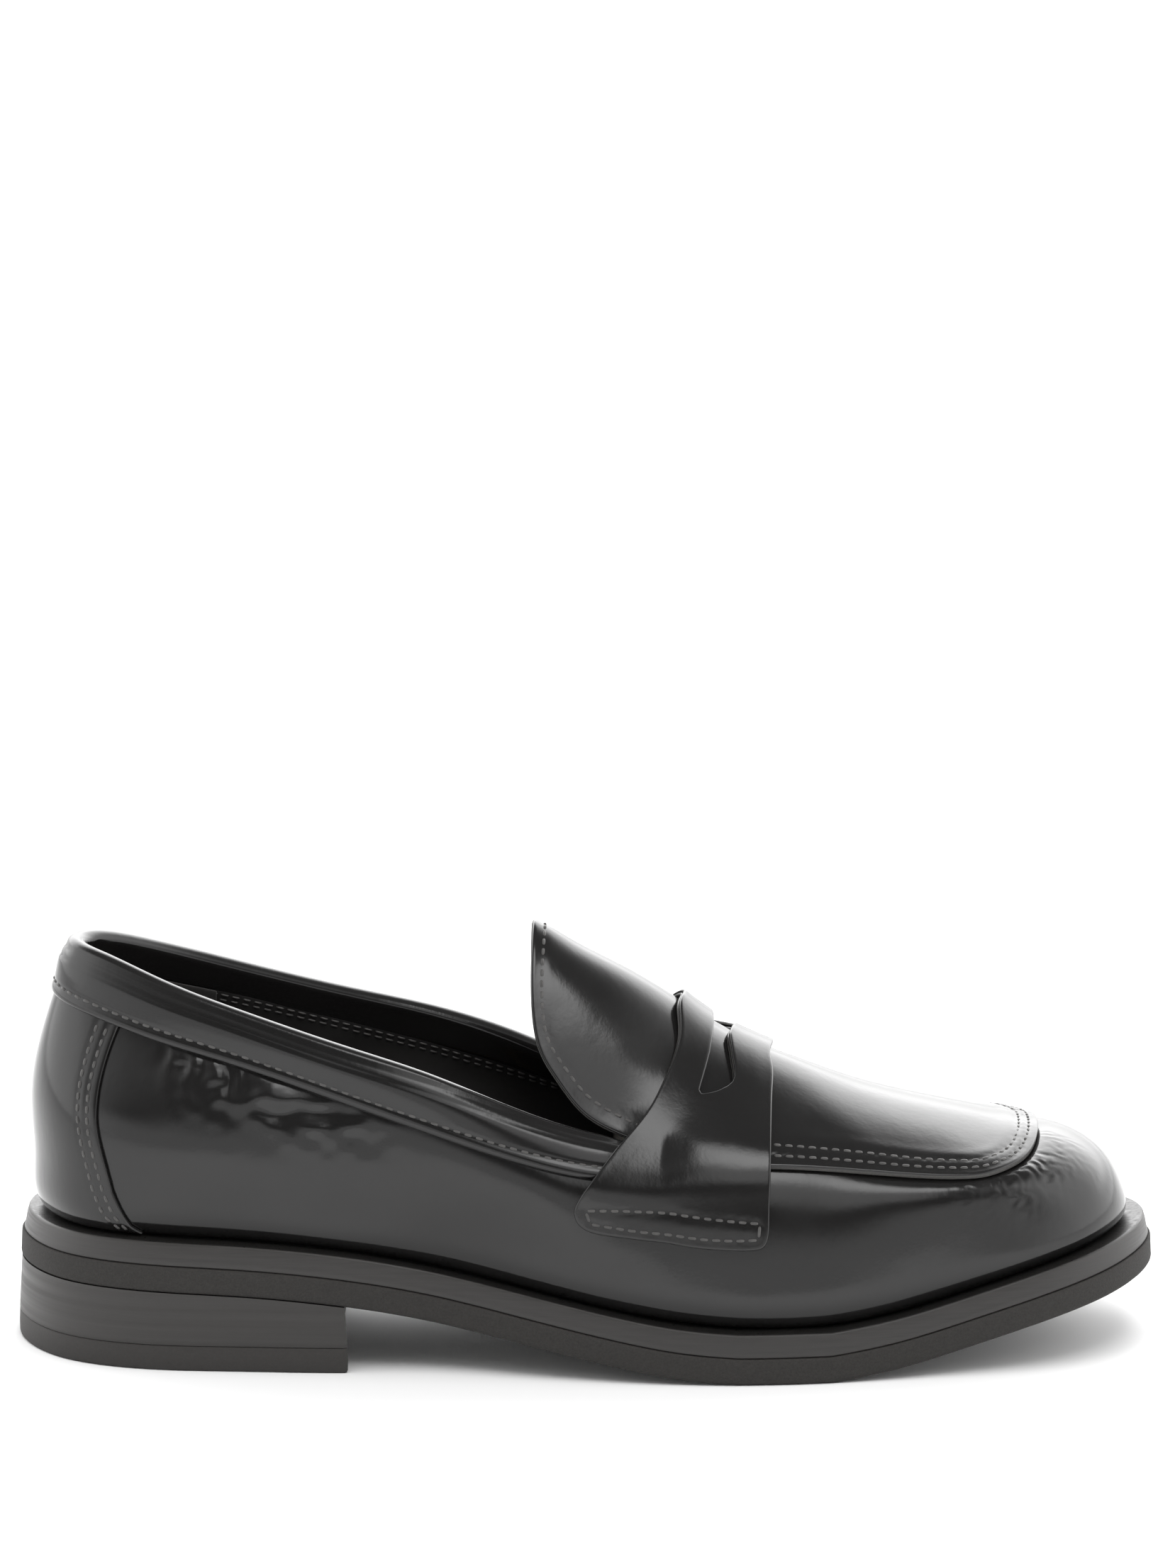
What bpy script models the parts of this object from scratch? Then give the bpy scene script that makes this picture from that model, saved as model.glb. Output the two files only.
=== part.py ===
"""Penny loafer, women's EU 38, right foot.

Frame: +X runs to the toe, -Y to the outer (lateral) side of the foot, +Z up.
The origin lies on the ground below the middle of the shoe. Lengths are in
millimetres up to add_node, which writes metres.

One design surface, the wall, is the outer face of the vamp: u counts the
stations round the shoe (0 centre back, 15 toe, 30 centre back again) and v
counts the design lines upwards (0 feather line, 3 collar seam and apron edge,
4 topline). A second one, the crown, is the height of the vamp over the foot.
Every piece of the upper is a sheet between two offsets from these surfaces.
"""
import math

import bmesh
import bpy
import numpy as np

MM = 0.001
GAP = 0.3                      # clearance between pieces that touch
CROWN_GAP = 0.7                # clearance of the apron over the vamp's edge
BOX_MIDDLE = (-0.55, -0.42)    # middle of the whole shoe in the design's X and Y

# ---- sole ------------------------------------------------------------------
OUTSOLE_THICK = 6.2
WELT_THICK = 5.4
OUTSOLE_PROUD = 1.6            # outsole edge stands out beyond the welt's top edge
WELT_MARGIN = 4.8              # ledge of the welt that shows round the upper
HEEL_BREAST_STATION = 5        # the heel block ends below this station
HEEL_FLARE = 0.7
TOP_PIECE_THICK = 6.1
TREAD_FLAT = (36.0, 58.0)      # the forepart rests on the ground between these X
BOTTOM_REAR = ((-136, 19.4), (-83, 18.2), (-57, 15.9), (-37, 12.4), (-14, 7.9), (8, 3.5),
               (22, 1.2), (36, 0))
BOTTOM_FRONT = ((58, 0), (74, 2.6), (90, 6.6), (109, 11.7), (136, 17.6))

# ---- upper -----------------------------------------------------------------
LEATHER = 1.2                  # vamp, apron, collar
BACKING = 0.8                  # stiffeners, interlinings and linings
MARGIN_GAP = 0.5               # clearance of the lasting margin over the welt
MARGIN_TURN = 12.0             # lasting margin turned in under the insole
STRAP_LAYER = 0.8
INSOLE_INSET = 4.9
SOCK_INSET = 7.0
INSOLE_THICK = 2.2
FOAM_THICK = 2.0
SOCK_THICK = 1.0
NAIL_RADIUS = 1.3
NAILS = ((-110, 0), (-100, -11), (-100, 10), (-76, -12), (-76, 10))

# welt outline: X and half breadth at stations 0 to 15
WELT = ((-133.4, 0), (-130.6, 13), (-123, 24.4), (-109, 32), (-84, 34.6), (-57.7, 34),
        (-37, 32.8), (-14, 38.6), (8, 44.9), (38, 48.6), (66, 46), (92, 40.4),
        (108.5, 35.6), (121.5, 27), (129.8, 14.6), (133, 0))

# design lines of the wall: X, half breadth and height at stations 0 to 15
BULGE = ((-130.9, 0, 43), (-128.2, 12.4, 43), (-121, 22.8, 42.5), (-107.5, 29.8, 41.5),
         (-84, 32.2, 39), (-57.7, 31.8, 36.5), (-37, 31.8, 33.5), (-14, 36.6, 29.5),
         (8, 42.2, 25.2), (38, 45.2, 23.4), (66, 42.6, 24.6), (92, 36.6, 28.4),
         (107.2, 31.1, 32.2), (119, 22.8, 34), (125.6, 12, 34.8), (127.8, 0, 34.9))
MIDDLE = ((-131.4, 0, 60), (-128.7, 12, 60), (-121, 21.9, 59.4), (-106.5, 28.8, 57.6),
          (-84, 31.6, 54), (-57.7, 32.2, 49), (-37, 33.6, 44.8), (-14, 37.6, 40.2),
          (8, 41.4, 36.8), (38, 42.2, 37.2), (66, 39.8, 36.8), (92, 34.4, 38.4),
          (105, 28.6, 40.8), (115.2, 20.2, 41.8), (121.6, 10.6, 42.2), (123.8, 0, 42))
SEAM = ((-125.9, 0, 83.6), (-123.6, 7.8, 82.8), (-117, 14.4, 81), (-105, 20.6, 77.6),
        (-84, 26.2, 72.2), (-57.7, 30.8, 64.1), (-37, 34, 57.4), (-14, 37.2, 50.4),
        (8, 38.4, 46.8), (38, 36.4, 49.2), (66, 34.2, 46.8), (88, 32.4, 44.9),
        (99.2, 27.2, 45.7), (104.6, 19, 46.9), (107, 9.8, 48.3), (107.6, 0, 48.9))
TOPLINE = ((-122.4, 0, 94.8), (-120.4, 6.4, 94.4), (-114.2, 12, 93), (-103, 18, 89.2),
           (-84, 23.6, 83.1), (-57.7, 29, 75.2), (-37, 31, 68.8), (-14, 31.8, 59.7),
           (8, 32.2, 53.9))
MEDIAL_RISE = ((6, 1.2), (7, 2.4))        # station and how much higher the medial side is

# crown: X, half breadth and height of points over the instep and the toes
RIDGE = ((-16, 100.4), (-10, 97.8), (-4, 94), (5, 89.1), (16, 82.8), (24, 77.4), (30, 73.6), (36, 70.2),
         (42, 67.6), (49, 64.8), (60, 60.3), (73, 56.1), (82, 53.9), (92, 51.6), (101, 49.7))
SHOULDER = ((-15, 18.4, 78.6), (-12, 24, 69.4), (-3, 18, 77.6), (-3, 27.4, 61), (8, 18.6, 73.4),
            (8, 29.4, 55.4), (24, 19, 66.6), (24, 31, 55.4), (42, 18.8, 61.2), (42, 30, 54.2),
            (66, 18, 54.9), (66, 28.4, 50.6), (86, 16.5, 50.9), (88, 26.6, 47.6), (98, 16, 48.6))

# half outline of the apron and its tongue in plan: X and half breadth, rear to front corner
APRON_SIDE = ((-13.4, 16.5), (-12.3, 20.6), (-8.5, 24), (-1.5, 27.4), (8, 29.6), (16, 32.4), (24, 35.2),
              (38, 36.4), (52, 35.4), (66, 34.2), (78, 33.3), (88, 32.4), (95, 30.2), (99.2, 27.2))
LINING_SIDE = ((-13, 16), (-11.8, 20), (-7.8, 23.4), (-1, 26.2), (8, 27), (16, 27.6), (24, 28.2),
               (38, 28.6), (52, 27.6), (66, 26.6), (76, 25.6), (84, 24.8), (90, 22.4), (93, 19.6))

# saddle strap: X of its rear and front edges down the side, by girth line (6 is the ridge)
STRAP_LINES = (1.72, 2.2, 2.6, 3, 3.5, 4, 4.5, 5, 5.5, 6)
STRAP_REAR = (2, -2.9, -1.6, 1.5, 7.6, 14.4, 18.4, 20.2, 20.4, 19.8)
STRAP_FRONT = (38.8, 43, 43, 43, 43, 43, 43, 42.8, 42.3, 42)
SLOT_X = (27, 33.3)            # coin slot across the strap, rear and front edge
SLOT_LINES = (4, 7)            # the slot runs between these girth lines, over the ridge

STATIONS = 30
TOE = 15


# ---- curves and surfaces -----------------------------------------------------
def natural_spline(knots, values, at):
    """Cubic spline through values at knots, straight beyond its ends."""
    knots = np.asarray(knots, float)
    values = np.asarray(values, float)
    at = np.asarray(at, float)
    count = len(knots)
    step = np.diff(knots)
    slope = (np.diff(values, axis=0).T / step).T
    matrix = np.eye(count)
    right = np.zeros_like(values)
    for i in range(1, count - 1):
        matrix[i, i - 1:i + 2] = step[i - 1], 2 * (step[i - 1] + step[i]), step[i]
        right[i] = 6 * (slope[i] - slope[i - 1])
    bend = np.linalg.solve(matrix, right)
    return spline_values(knots, values, bend, at)


def spline_values(knots, values, bend, at):
    i = np.clip(np.searchsorted(knots, at, side="right") - 1, 0, len(knots) - 2)
    width = knots[i + 1] - knots[i]
    b = (at - knots[i]) / width
    a = 1 - b
    if values.ndim > 1:
        a, b, width = (np.expand_dims(item, -1) for item in (a, b, width))
    inside = ((a ** 3 - a) * bend[i] + (b ** 3 - b) * bend[i + 1]) * width ** 2 / 6
    return a * values[i] + b * values[i + 1] + inside


def loop_spline(knots, period, values, at):
    """Closed cubic spline; it repeats three turns so that the middle one is smooth."""
    turns = np.concatenate([knots - period, knots, knots + period])
    repeated = np.concatenate([values] * 3)
    return natural_spline(turns, repeated, at)


def sway(x, line):
    """Sideways shift of the centre line: the waist bends out, the toe turns in."""
    waist = -4.2 * math.exp(-((x + 32) / 42) ** 2) * max(0.1, 1 - 0.3 * line)
    toe = 2.2 / (1 + math.exp(-(x - 60) / 16))
    return waist + toe - 0.6


def closed_line(half, line):
    """Turns a half outline of (X, half breadth, height) into a loop of 30 points."""
    points = [(x, sway(x, line) - b, z) for x, b, z in half]
    points += [(x, sway(x, line) + b, z) for x, b, z in half[-2:0:-1]]
    return np.array(points, float)


def sole_bottom(x):
    x = np.asarray(x, float)
    rear = natural_spline(*zip(*BOTTOM_REAR), x)
    front = natural_spline(*zip(*BOTTOM_FRONT), x)
    z = np.where(x < TREAD_FLAT[0], rear, np.where(x > TREAD_FLAT[1], front, 0.0))
    return np.maximum(z, 0.0)


def welt_top(x):
    return sole_bottom(x) + OUTSOLE_THICK + GAP + WELT_THICK


def inset(loop, distance):
    """Moves a loop inwards in plan."""
    ahead = np.roll(loop, -1, axis=0) - np.roll(loop, 1, axis=0)
    inward = np.stack([-ahead[:, 1], ahead[:, 0]], 1)
    inward /= np.linalg.norm(inward, axis=1)[:, None]
    moved = loop.copy()
    moved[:, :2] += inward * distance
    return moved


def build_crown():
    """Thin plate spline through the ridge, the shoulders and the apron's edge."""
    points = [(x, sway(x, 6), z) for x, z in RIDGE]
    for x, b, z in SHOULDER + SEAM[8:TOE]:
        points += [(x, sway(x, 4) - b, z), (x, sway(x, 4) + b, z)]
    points += [(SEAM[TOE][0], sway(SEAM[TOE][0], 4), SEAM[TOE][2])]
    points = np.array(points, float)
    plan = points[:, :2]
    bend = plate_kernel(plan, plan) + 4.0 * np.eye(len(plan))
    flat = np.column_stack([np.ones(len(plan)), plan])
    system = np.block([[bend, flat], [flat.T, np.zeros((3, 3))]])
    weights = np.linalg.solve(system, np.append(points[:, 2], [0, 0, 0]))
    return plan, weights


def plate_kernel(a, b):
    square = ((a[:, None, :] - b[None, :, :]) ** 2).sum(2)
    return square * np.log(square + 1e-9) / 2


def crown_height(x, y):
    plan, weights = CROWN
    at = np.column_stack([np.ravel(x), np.ravel(y)])
    z = plate_kernel(at, plan) @ weights[:-3] + weights[-3] + at @ weights[-2:]
    return z.reshape(np.shape(x))


def crown(x, y, offset):
    """Points at an offset above the crown."""
    d = 0.2
    z = crown_height(x, y)
    slope_x = (crown_height(x + d, y) - crown_height(x - d, y)) / (2 * d)
    slope_y = (crown_height(x, y + d) - crown_height(x, y - d)) / (2 * d)
    normal = np.stack([-slope_x, -slope_y, np.ones_like(z)], -1)
    normal /= np.linalg.norm(normal, axis=-1)[..., None]
    return np.stack([x, y, z], -1) + normal * offset


def design_lines():
    """The seven loops of the wall: margin, turn, feather, bulge, middle, seam, top."""
    welt = closed_line([(x, b, 0) for x, b in WELT], 0)
    welt[:, 2] = welt_top(welt[:, 0])
    feather = inset(welt, WELT_MARGIN)
    feather[:, 2] = welt_top(feather[:, 0]) + 1.4
    turn = inset(feather, 1.6)
    margin = inset(feather, MARGIN_TURN)
    for loop in (turn, margin):
        loop[:, 2] = welt_top(loop[:, 0]) + MARGIN_GAP
    seam = closed_line(SEAM, 3)
    top = closed_line(TOPLINE + SEAM[9:], 4)
    for station, rise in MEDIAL_RISE:
        top[STATIONS - station, 2] += rise
    under_apron = inset(seam, 5.2)
    front = slice(9, STATIONS - 8)
    top[front] = under_apron[front]
    top[front, 2] = crown_height(top[front, 0], top[front, 1])
    return [margin, turn, feather, closed_line(BULGE, 1), closed_line(MIDDLE, 2), seam, top]


def station_lengths():
    feather = LINES[2][:, :2]
    steps = np.linalg.norm(np.roll(feather, -1, axis=0) - feather, axis=1)
    return np.append(0, np.cumsum(steps))


def loop_points(loop, u):
    """Points of one closed design line at stations u, which may be fractions."""
    u = np.asarray(u, float)
    lengths = STATION_LENGTHS
    turn = np.floor(u / STATIONS)
    along = np.interp(u - turn * STATIONS, np.arange(STATIONS + 1), lengths)
    return loop_spline(lengths[:-1], lengths[-1], loop, along)


def wall_base(u, v):
    """Wall points for a grid of stations u and design lines v (-2 to 4)."""
    v = np.asarray(v, float)
    columns = np.stack([loop_points(loop, u) for loop in LINES], 1)
    rows = []
    for column in columns:
        knots = np.append(0, np.cumsum(np.linalg.norm(np.diff(column, axis=0), axis=1)))
        at = np.interp(v, np.arange(-2, 5), knots)
        beyond = np.maximum(v - 4, 0) * (knots[-1] - knots[-2])
        rows.append(natural_spline(knots, column, at + beyond))
    return np.array(rows)


def wall_normal(u, v):
    u = np.asarray(u, float)
    v = np.asarray(v, float)
    d = 0.02
    along = wall_base(u + d, v) - wall_base(u - d, v)
    up = wall_base(u, v + d) - wall_base(u, v - d)
    normal = np.cross(along, up)
    return normal / np.linalg.norm(normal, axis=-1)[..., None]


def wall(u, v, offset):
    return wall_base(u, v) + wall_normal(u, v) * offset


# ---- meshes ----------------------------------------------------------------
def material(name, colour, roughness, metallic=0.0):
    item = bpy.data.materials.new(name)
    item.use_nodes = True
    shader = item.node_tree.nodes["Principled BSDF"]
    shader.inputs["Base Color"].default_value = (*colour, 1)
    shader.inputs["Roughness"].default_value = roughness
    shader.inputs["Metallic"].default_value = metallic
    item.diffuse_color = (*colour, 1)
    return item


def placed(point):
    """From design millimetres to metres about the middle of the shoe."""
    x, y, z = point
    return ((x - BOX_MIDDLE[0]) * MM, (y - BOX_MIDDLE[1]) * MM, z * MM)


def add_node(name, vertices, faces, finish):
    mesh = bpy.data.meshes.new(name)
    mesh.from_pydata([placed(p) for p in vertices], [], faces)
    work = bmesh.new()
    work.from_mesh(mesh)
    bmesh.ops.recalc_face_normals(work, faces=work.faces)
    work.to_mesh(mesh)
    work.free()
    mesh.materials.append(finish)
    mesh.shade_smooth()
    mesh.set_sharp_from_angle(angle=math.radians(40))
    node = bpy.data.objects.new(name, mesh)
    bpy.context.scene.collection.objects.link(node)
    return node


def sheet_node(name, outer, inner, finish, keep=None):
    """Closed solid between two grids of points; keep[i, j] false leaves a cell out."""
    rows, columns = outer.shape[:2]
    if keep is None:
        keep = np.ones((rows - 1, columns - 1), bool)
    used = {}

    def vertex(side, i, j):
        return used.setdefault((side, i, j), len(used))

    faces = []
    edges = {}
    for i in range(rows - 1):
        for j in range(columns - 1):
            if not keep[i, j]:
                continue
            ring = [(i, j), (i + 1, j), (i + 1, j + 1), (i, j + 1)]
            for side in (0, 1):
                a, b, c, d = [vertex(side, *corner) for corner in ring]
                faces += [(a, b, c), (a, c, d)] if side == 0 else [(a, c, b), (a, d, c)]
            for start, end in zip(ring, ring[1:] + ring[:1]):
                if (end, start) in edges:
                    edges.pop((end, start))
                else:
                    edges[(start, end)] = True
    for start, end in edges:
        a, b = vertex(0, *start), vertex(0, *end)
        c, d = vertex(1, *end), vertex(1, *start)
        faces += [(b, a, d), (b, d, c)]
    grids = (outer, inner)
    vertices = [grids[side][i, j] for side, i, j in used]
    return add_node(name, vertices, faces, finish)


def wall_sheet(name, u, v, low, high, finish, keep=None):
    """A sheet of the upper between two offsets from the wall."""
    return sheet_node(name, wall(u, v, high), wall(u, v, low), finish, keep)


def pairs(loop, first=0, last=TOE):
    """Lateral and medial points of a loop, every half station between two of them."""
    u = np.arange(first, last + 0.25, 0.5)
    return loop_points(loop, u), loop_points(loop, STATIONS - u)


def slab(name, sides, bottom, top, finish, foot=None):
    """Solid between two heights, given its lateral and medial points.

    foot gives other points for the bottom, where the sides slant.
    """
    vertices = []
    for (lateral, medial), height in ((foot or sides, bottom), (sides, top)):
        for a, b in zip(lateral, medial):
            vertices += [(a[0], a[1], float(height(a[0]))), (b[0], b[1], float(height(b[0])))]
    count = len(sides[0])
    up = 2 * count
    faces = [(0, 1, 1 + up, up), (up - 2, up - 2 + up, up - 1 + up, up - 1)]
    for k in range(count - 1):
        a, b, c, d = 2 * k, 2 * k + 1, 2 * k + 3, 2 * k + 2
        faces += [(a, b, c, d), (a + up, d + up, c + up, b + up)]
        faces += [(a, d, d + up, a + up), (b, b + up, c + up, c)]
    return weld_node(name, vertices, faces, finish)


def weld_node(name, vertices, faces, finish):
    """add_node after merging equal points, so that pointed ends close."""
    keys = {}
    remap = []
    points = []
    for p in vertices:
        key = tuple(round(float(c), 4) for c in p)
        if key not in keys:
            keys[key] = len(points)
            points.append(p)
        remap.append(keys[key])
    clean = []
    for face in faces:
        ring = list(dict.fromkeys(remap[i] for i in face))
        if len(ring) > 2:
            clean.append(tuple(ring))
    return add_node(name, points, clean, finish)


CROWN = build_crown()
LINES = design_lines()
STATION_LENGTHS = station_lengths()


# ---- pieces ------------------------------------------------------------------
HALF_STATIONS = np.arange(0.5, STATIONS, 0.5)
FULL_WALL = np.array([-2, -1, 0, 0.5, 1, 1.5, 2, 2.5, 3, 3.5, 4])
INNER_LINES = np.array([0.5, 1, 1.5, 2, 2.5, 3])


def grid_between(first, last, step=0.5):
    """Grid lines at whole steps between two ends, and the ends themselves."""
    lines = np.arange(math.ceil(first / step), math.floor(last / step) + 1) * step
    inner = lines[(lines > first + 0.08) & (lines < last - 0.08)]
    return np.concatenate([[first], inner, [last]])


def build_sole(finishes):
    welt = LINES[2].copy()
    welt = inset(welt, -WELT_MARGIN)
    outsole = inset(welt, -OUTSOLE_PROUD)
    heel_foot = inset(outsole, -HEEL_FLARE)
    heel = pairs(outsole, 0, HEEL_BREAST_STATION)
    foot = pairs(heel_foot, 0, HEEL_BREAST_STATION)
    lift_top = TOP_PIECE_THICK
    level = {"ground": lambda x: 0.0, "lift": lambda x: lift_top,
             "block": lambda x: lift_top + GAP, "seat": lambda x: sole_bottom(x) - GAP,
             "split": lambda x: sole_bottom(x) + OUTSOLE_THICK,
             "welt": lambda x: sole_bottom(x) + OUTSOLE_THICK + GAP}
    slab("heel_top_piece", foot, level["ground"], level["lift"], finishes["rubber"])
    block = slab("heel_block", heel, level["block"], level["seat"], finishes["stacked"], foot)
    tread = slab("outsole", pairs(outsole), sole_bottom, level["split"], finishes["outsole"])
    band = slab("welt_midsole", pairs(welt), level["welt"], welt_top, finishes["welt"])
    board_low = MARGIN_GAP + LEATHER + 0.5
    board_high = board_low + INSOLE_THICK
    insole = slab("insole_board", pairs(inset(LINES[2], INSOLE_INSET)),
                  above_welt(board_low), above_welt(board_high), finishes["board"])
    inner = inset(LINES[0], 1.2)
    slab("forepart_filler", pairs(inner, 9, TOE), above_welt(MARGIN_GAP),
         above_welt(board_low - 0.4), finishes["cork"])
    shank_x = np.linspace(-96, 10, 16)
    shank = [[(x, sway(x, 0) + side * 7, 0) for x in shank_x] for side in (-1, 1)]
    slab("shank", shank, above_welt(MARGIN_GAP), above_welt(board_low - 0.5), finishes["steel"])
    foam_low = board_high + GAP
    footbed = pairs(inset(LINES[2], SOCK_INSET))
    slab("footbed_foam", footbed, above_welt(foam_low), above_welt(foam_low + FOAM_THICK),
         finishes["foam"])
    sock_low = foam_low + FOAM_THICK + GAP
    slab("sock_liner", footbed, above_welt(sock_low), above_welt(sock_low + SOCK_THICK),
         finishes["lining"])
    drive_nails([block, tread, band, insole], board_high, finishes["steel"])


def above_welt(rise):
    return lambda x: welt_top(x) + rise


def drive_nails(bored, head_rise, finish):
    """Heel nails through the insole and the sole into the heel block."""
    cutter = bpy.data.meshes.new("nail_holes")
    work = bmesh.new()
    for index, (x, y) in enumerate(NAILS):
        head = float(welt_top(x)) + head_rise - 0.1
        tip = TOP_PIECE_THICK + 3.0
        nail = bmesh.new()
        add_rod(nail, x, y, tip, head, NAIL_RADIUS)
        mesh = bpy.data.meshes.new(f"heel_nail_{index + 1}")
        nail.to_mesh(mesh)
        nail.free()
        mesh.materials.append(finish)
        node = bpy.data.objects.new(mesh.name, mesh)
        bpy.context.scene.collection.objects.link(node)
        add_rod(work, x, y, tip - GAP, head + 5, NAIL_RADIUS + GAP)
    work.to_mesh(cutter)
    work.free()
    holes = bpy.data.objects.new("nail_holes", cutter)
    bpy.context.scene.collection.objects.link(holes)
    holes.hide_render = True
    holes.display_type = "WIRE"
    for piece in bored:
        cut = piece.modifiers.new("nail_holes", "BOOLEAN")
        cut.operation = "DIFFERENCE"
        cut.object = holes


def add_rod(work, x, y, low, high, radius):
    rod = bmesh.ops.create_cone(work, cap_ends=True, segments=8, radius1=radius * MM,
                                radius2=radius * MM, depth=(high - low) * MM)
    bmesh.ops.translate(work, verts=rod["verts"], vec=placed((x, y, (low + high) / 2)))


def build_wall(finishes):
    leather = finishes["leather"]
    u = np.concatenate([[0.04], HALF_STATIONS, [STATIONS - 0.04]])
    wall_sheet("vamp", u, FULL_WALL, -LEATHER, 0, leather)
    low = -LEATHER - GAP - BACKING
    high = -LEATHER - GAP
    stiff = finishes["stiffener"]
    wall_sheet("counter_stiffener", grid_between(-4.4, 4.4), INNER_LINES,
               low, high, stiff)
    wall_sheet("toe_puff", grid_between(11.5, 18.5), INNER_LINES,
               low, high, stiff)
    wall_sheet("side_interlining_lateral", grid_between(4.5, 11.4), INNER_LINES, low, high,
               finishes["cloth"])
    wall_sheet("side_interlining_medial", grid_between(18.6, 25.5), INNER_LINES, low, high,
               finishes["cloth"])
    low -= BACKING + GAP
    high -= BACKING + GAP
    lines = np.append(INNER_LINES, 3.42)
    wall_sheet("quarter_lining", grid_between(-7.9, 7.9), lines, low, high, finishes["lining"])
    wall_sheet("vamp_lining", grid_between(8, 22), lines, low, high, finishes["lining"])
    low -= BACKING + GAP
    high -= BACKING + GAP
    wall_sheet("heel_grip", grid_between(-3.4, 3.4), np.array([1, 1.5, 2, 2.5, 3, 3.3]), low, high,
               finishes["suede"])
    wall_sheet("back_counter", grid_between(-2.4, 2.4), np.array([0.1, 0.5, 1, 1.5, 2, 2.5, 2.95]),
               GAP, GAP + LEATHER, leather)
    build_collar(leather)


def build_collar(finish):
    """Band along the topline, folded over it, with its facing inside the shoe."""
    u = grid_between(-7.8, 7.8)
    outside = GAP + LEATHER
    inside = -(LEATHER + 2 * (GAP + BACKING))
    axis = (outside + inside) / 2
    radius = (outside - inside) / 2
    top = wall(u, [4.0], axis)[:, 0]
    normal = wall_normal(u, [4.0])[:, 0]
    rise = wall_base(u, [4.02])[:, 0] - wall_base(u, [3.98])[:, 0]
    rise /= np.linalg.norm(rise, axis=1)[:, None]
    skins = []
    for shrink in (0, LEATHER):
        rows = list(np.moveaxis(wall(u, [3.0, 3.5, 4.0], outside - shrink), 1, 0))
        for angle in (45, 90, 135):
            turn = math.radians(angle)
            rows.append(top + (radius - shrink) * (normal * math.cos(turn) + rise * math.sin(turn)))
        rows += list(np.moveaxis(wall(u, [4.0, 3.5], inside + shrink), 1, 0))
        skins.append(np.stack(rows, 1))
    sheet_node("collar", skins[0], skins[1], finish)


def crown_plan(side, rows, columns, front_pull):
    """Plan grid over the crown between a half outline and its mirror image."""
    side = np.array(side, float)
    along = np.append(0, np.cumsum(np.linalg.norm(np.diff(side, axis=0), axis=1)))
    s = np.linspace(0, 1, rows)
    x, b = natural_spline(along, side, s * along[-1]).T
    t = np.linspace(-1, 1, columns)
    pull = front_pull * (s ** 5)[:, None] * (1 - np.abs(t) ** 2.6)
    plan_x = x[:, None] + pull
    shift = np.array([sway(value, 4) for value in x])
    plan_y = shift[:, None] + b[:, None] * t
    return plan_x, plan_y


def build_crown_pieces(finishes):
    x, y = crown_plan(APRON_SIDE, 21, 17, SEAM[TOE][0] - APRON_SIDE[-1][0])
    sheet_node("apron", crown(x, y, CROWN_GAP + LEATHER), crown(x, y, CROWN_GAP),
               finishes["leather"])
    x, y = crown_plan(LINING_SIDE, 19, 13, 7.0)
    sheet_node("apron_lining", crown(x, y, 0), crown(x, y, -LEATHER), finishes["lining"])


def girth(x, line, offset):
    """A point on the section at X, from the side of the sole (1) to the ridge (6).

    Lines above 6 run down the medial side. Below 3 the section follows the wall.
    """
    medial = line > 6
    line = 12 - line if medial else line
    dense = np.linspace(6, 10.5, 91)
    station = float(np.interp(x, loop_points(LINES[5], dense)[:, 0], dense))
    station = STATIONS - station if medial else station
    low = min(line, 3)
    side = wall_base([station], [low])[0, 0]
    side_normal = wall_normal([station], [low])[0, 0]
    edge = wall_base([station], [3])[0, 0]
    share = max(line - 3, 0) / 3
    y = edge[1] + (sway(x, 6) - edge[1]) * share
    top = crown(np.array([x]), np.array([y]), 0)[0]
    top_normal = crown(np.array([x]), np.array([y]), 1)[0] - top
    blend = min(max((line - 2.6) / 0.8, 0), 1)
    normal = side_normal * (1 - blend) + top_normal * blend
    normal /= np.linalg.norm(normal)
    point = side if line <= 3 else top
    return point + normal * offset


def strap_skin(clearance):
    """Grid of points of the saddle strap at a clearance over the pieces below."""
    lines = np.array([*STRAP_LINES, *(12 - np.array(STRAP_LINES[-2::-1]))])
    shares = np.array([0, 0.15, 0.3, 0.45, 0.56, 0.68, 0.84, 1])
    slot = np.array([np.nan, np.nan, np.nan, SLOT_X[0], sum(SLOT_X) / 2, SLOT_X[1], np.nan, np.nan])
    rows = []
    for line in lines:
        g = min(line, 12 - line)
        rear = np.interp(g, STRAP_LINES, STRAP_REAR)
        front = np.interp(g, STRAP_LINES, STRAP_FRONT)
        plain = rear + shares * (front - rear)
        known = ~np.isnan(slot)
        known[[0, -1]] = True
        targets = np.where(np.isnan(slot), plain, slot)
        aligned = np.interp(shares, shares[known], targets[known])
        weight = min(max((g - 3.2) / 1.3, 0), 1)
        xs = plain * (1 - weight) + aligned * weight
        lift = np.interp(g, (2.5, 3.0), (0.5, CROWN_GAP + LEATHER + 0.65))
        rows.append([girth(x, line, lift + clearance) for x in xs])
    return lines, np.array(rows)


def build_strap(finishes):
    lines, base = strap_skin(0)
    keep = np.ones((len(lines) - 1, 7), bool)
    middle = (lines[:-1] + lines[1:]) / 2
    over = (middle > SLOT_LINES[0]) & (middle < SLOT_LINES[1])
    keep[np.ix_(over, [3, 4])] = False
    skins = [base] + [strap_skin(rise)[1] for rise in (STRAP_LAYER, STRAP_LAYER + GAP,
                                                       2 * STRAP_LAYER + GAP)]
    sheet_node("strap_backing", skins[1], skins[0], finishes["lining"], keep)
    sheet_node("strap", skins[3], skins[2], finishes["leather"], keep)


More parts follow.
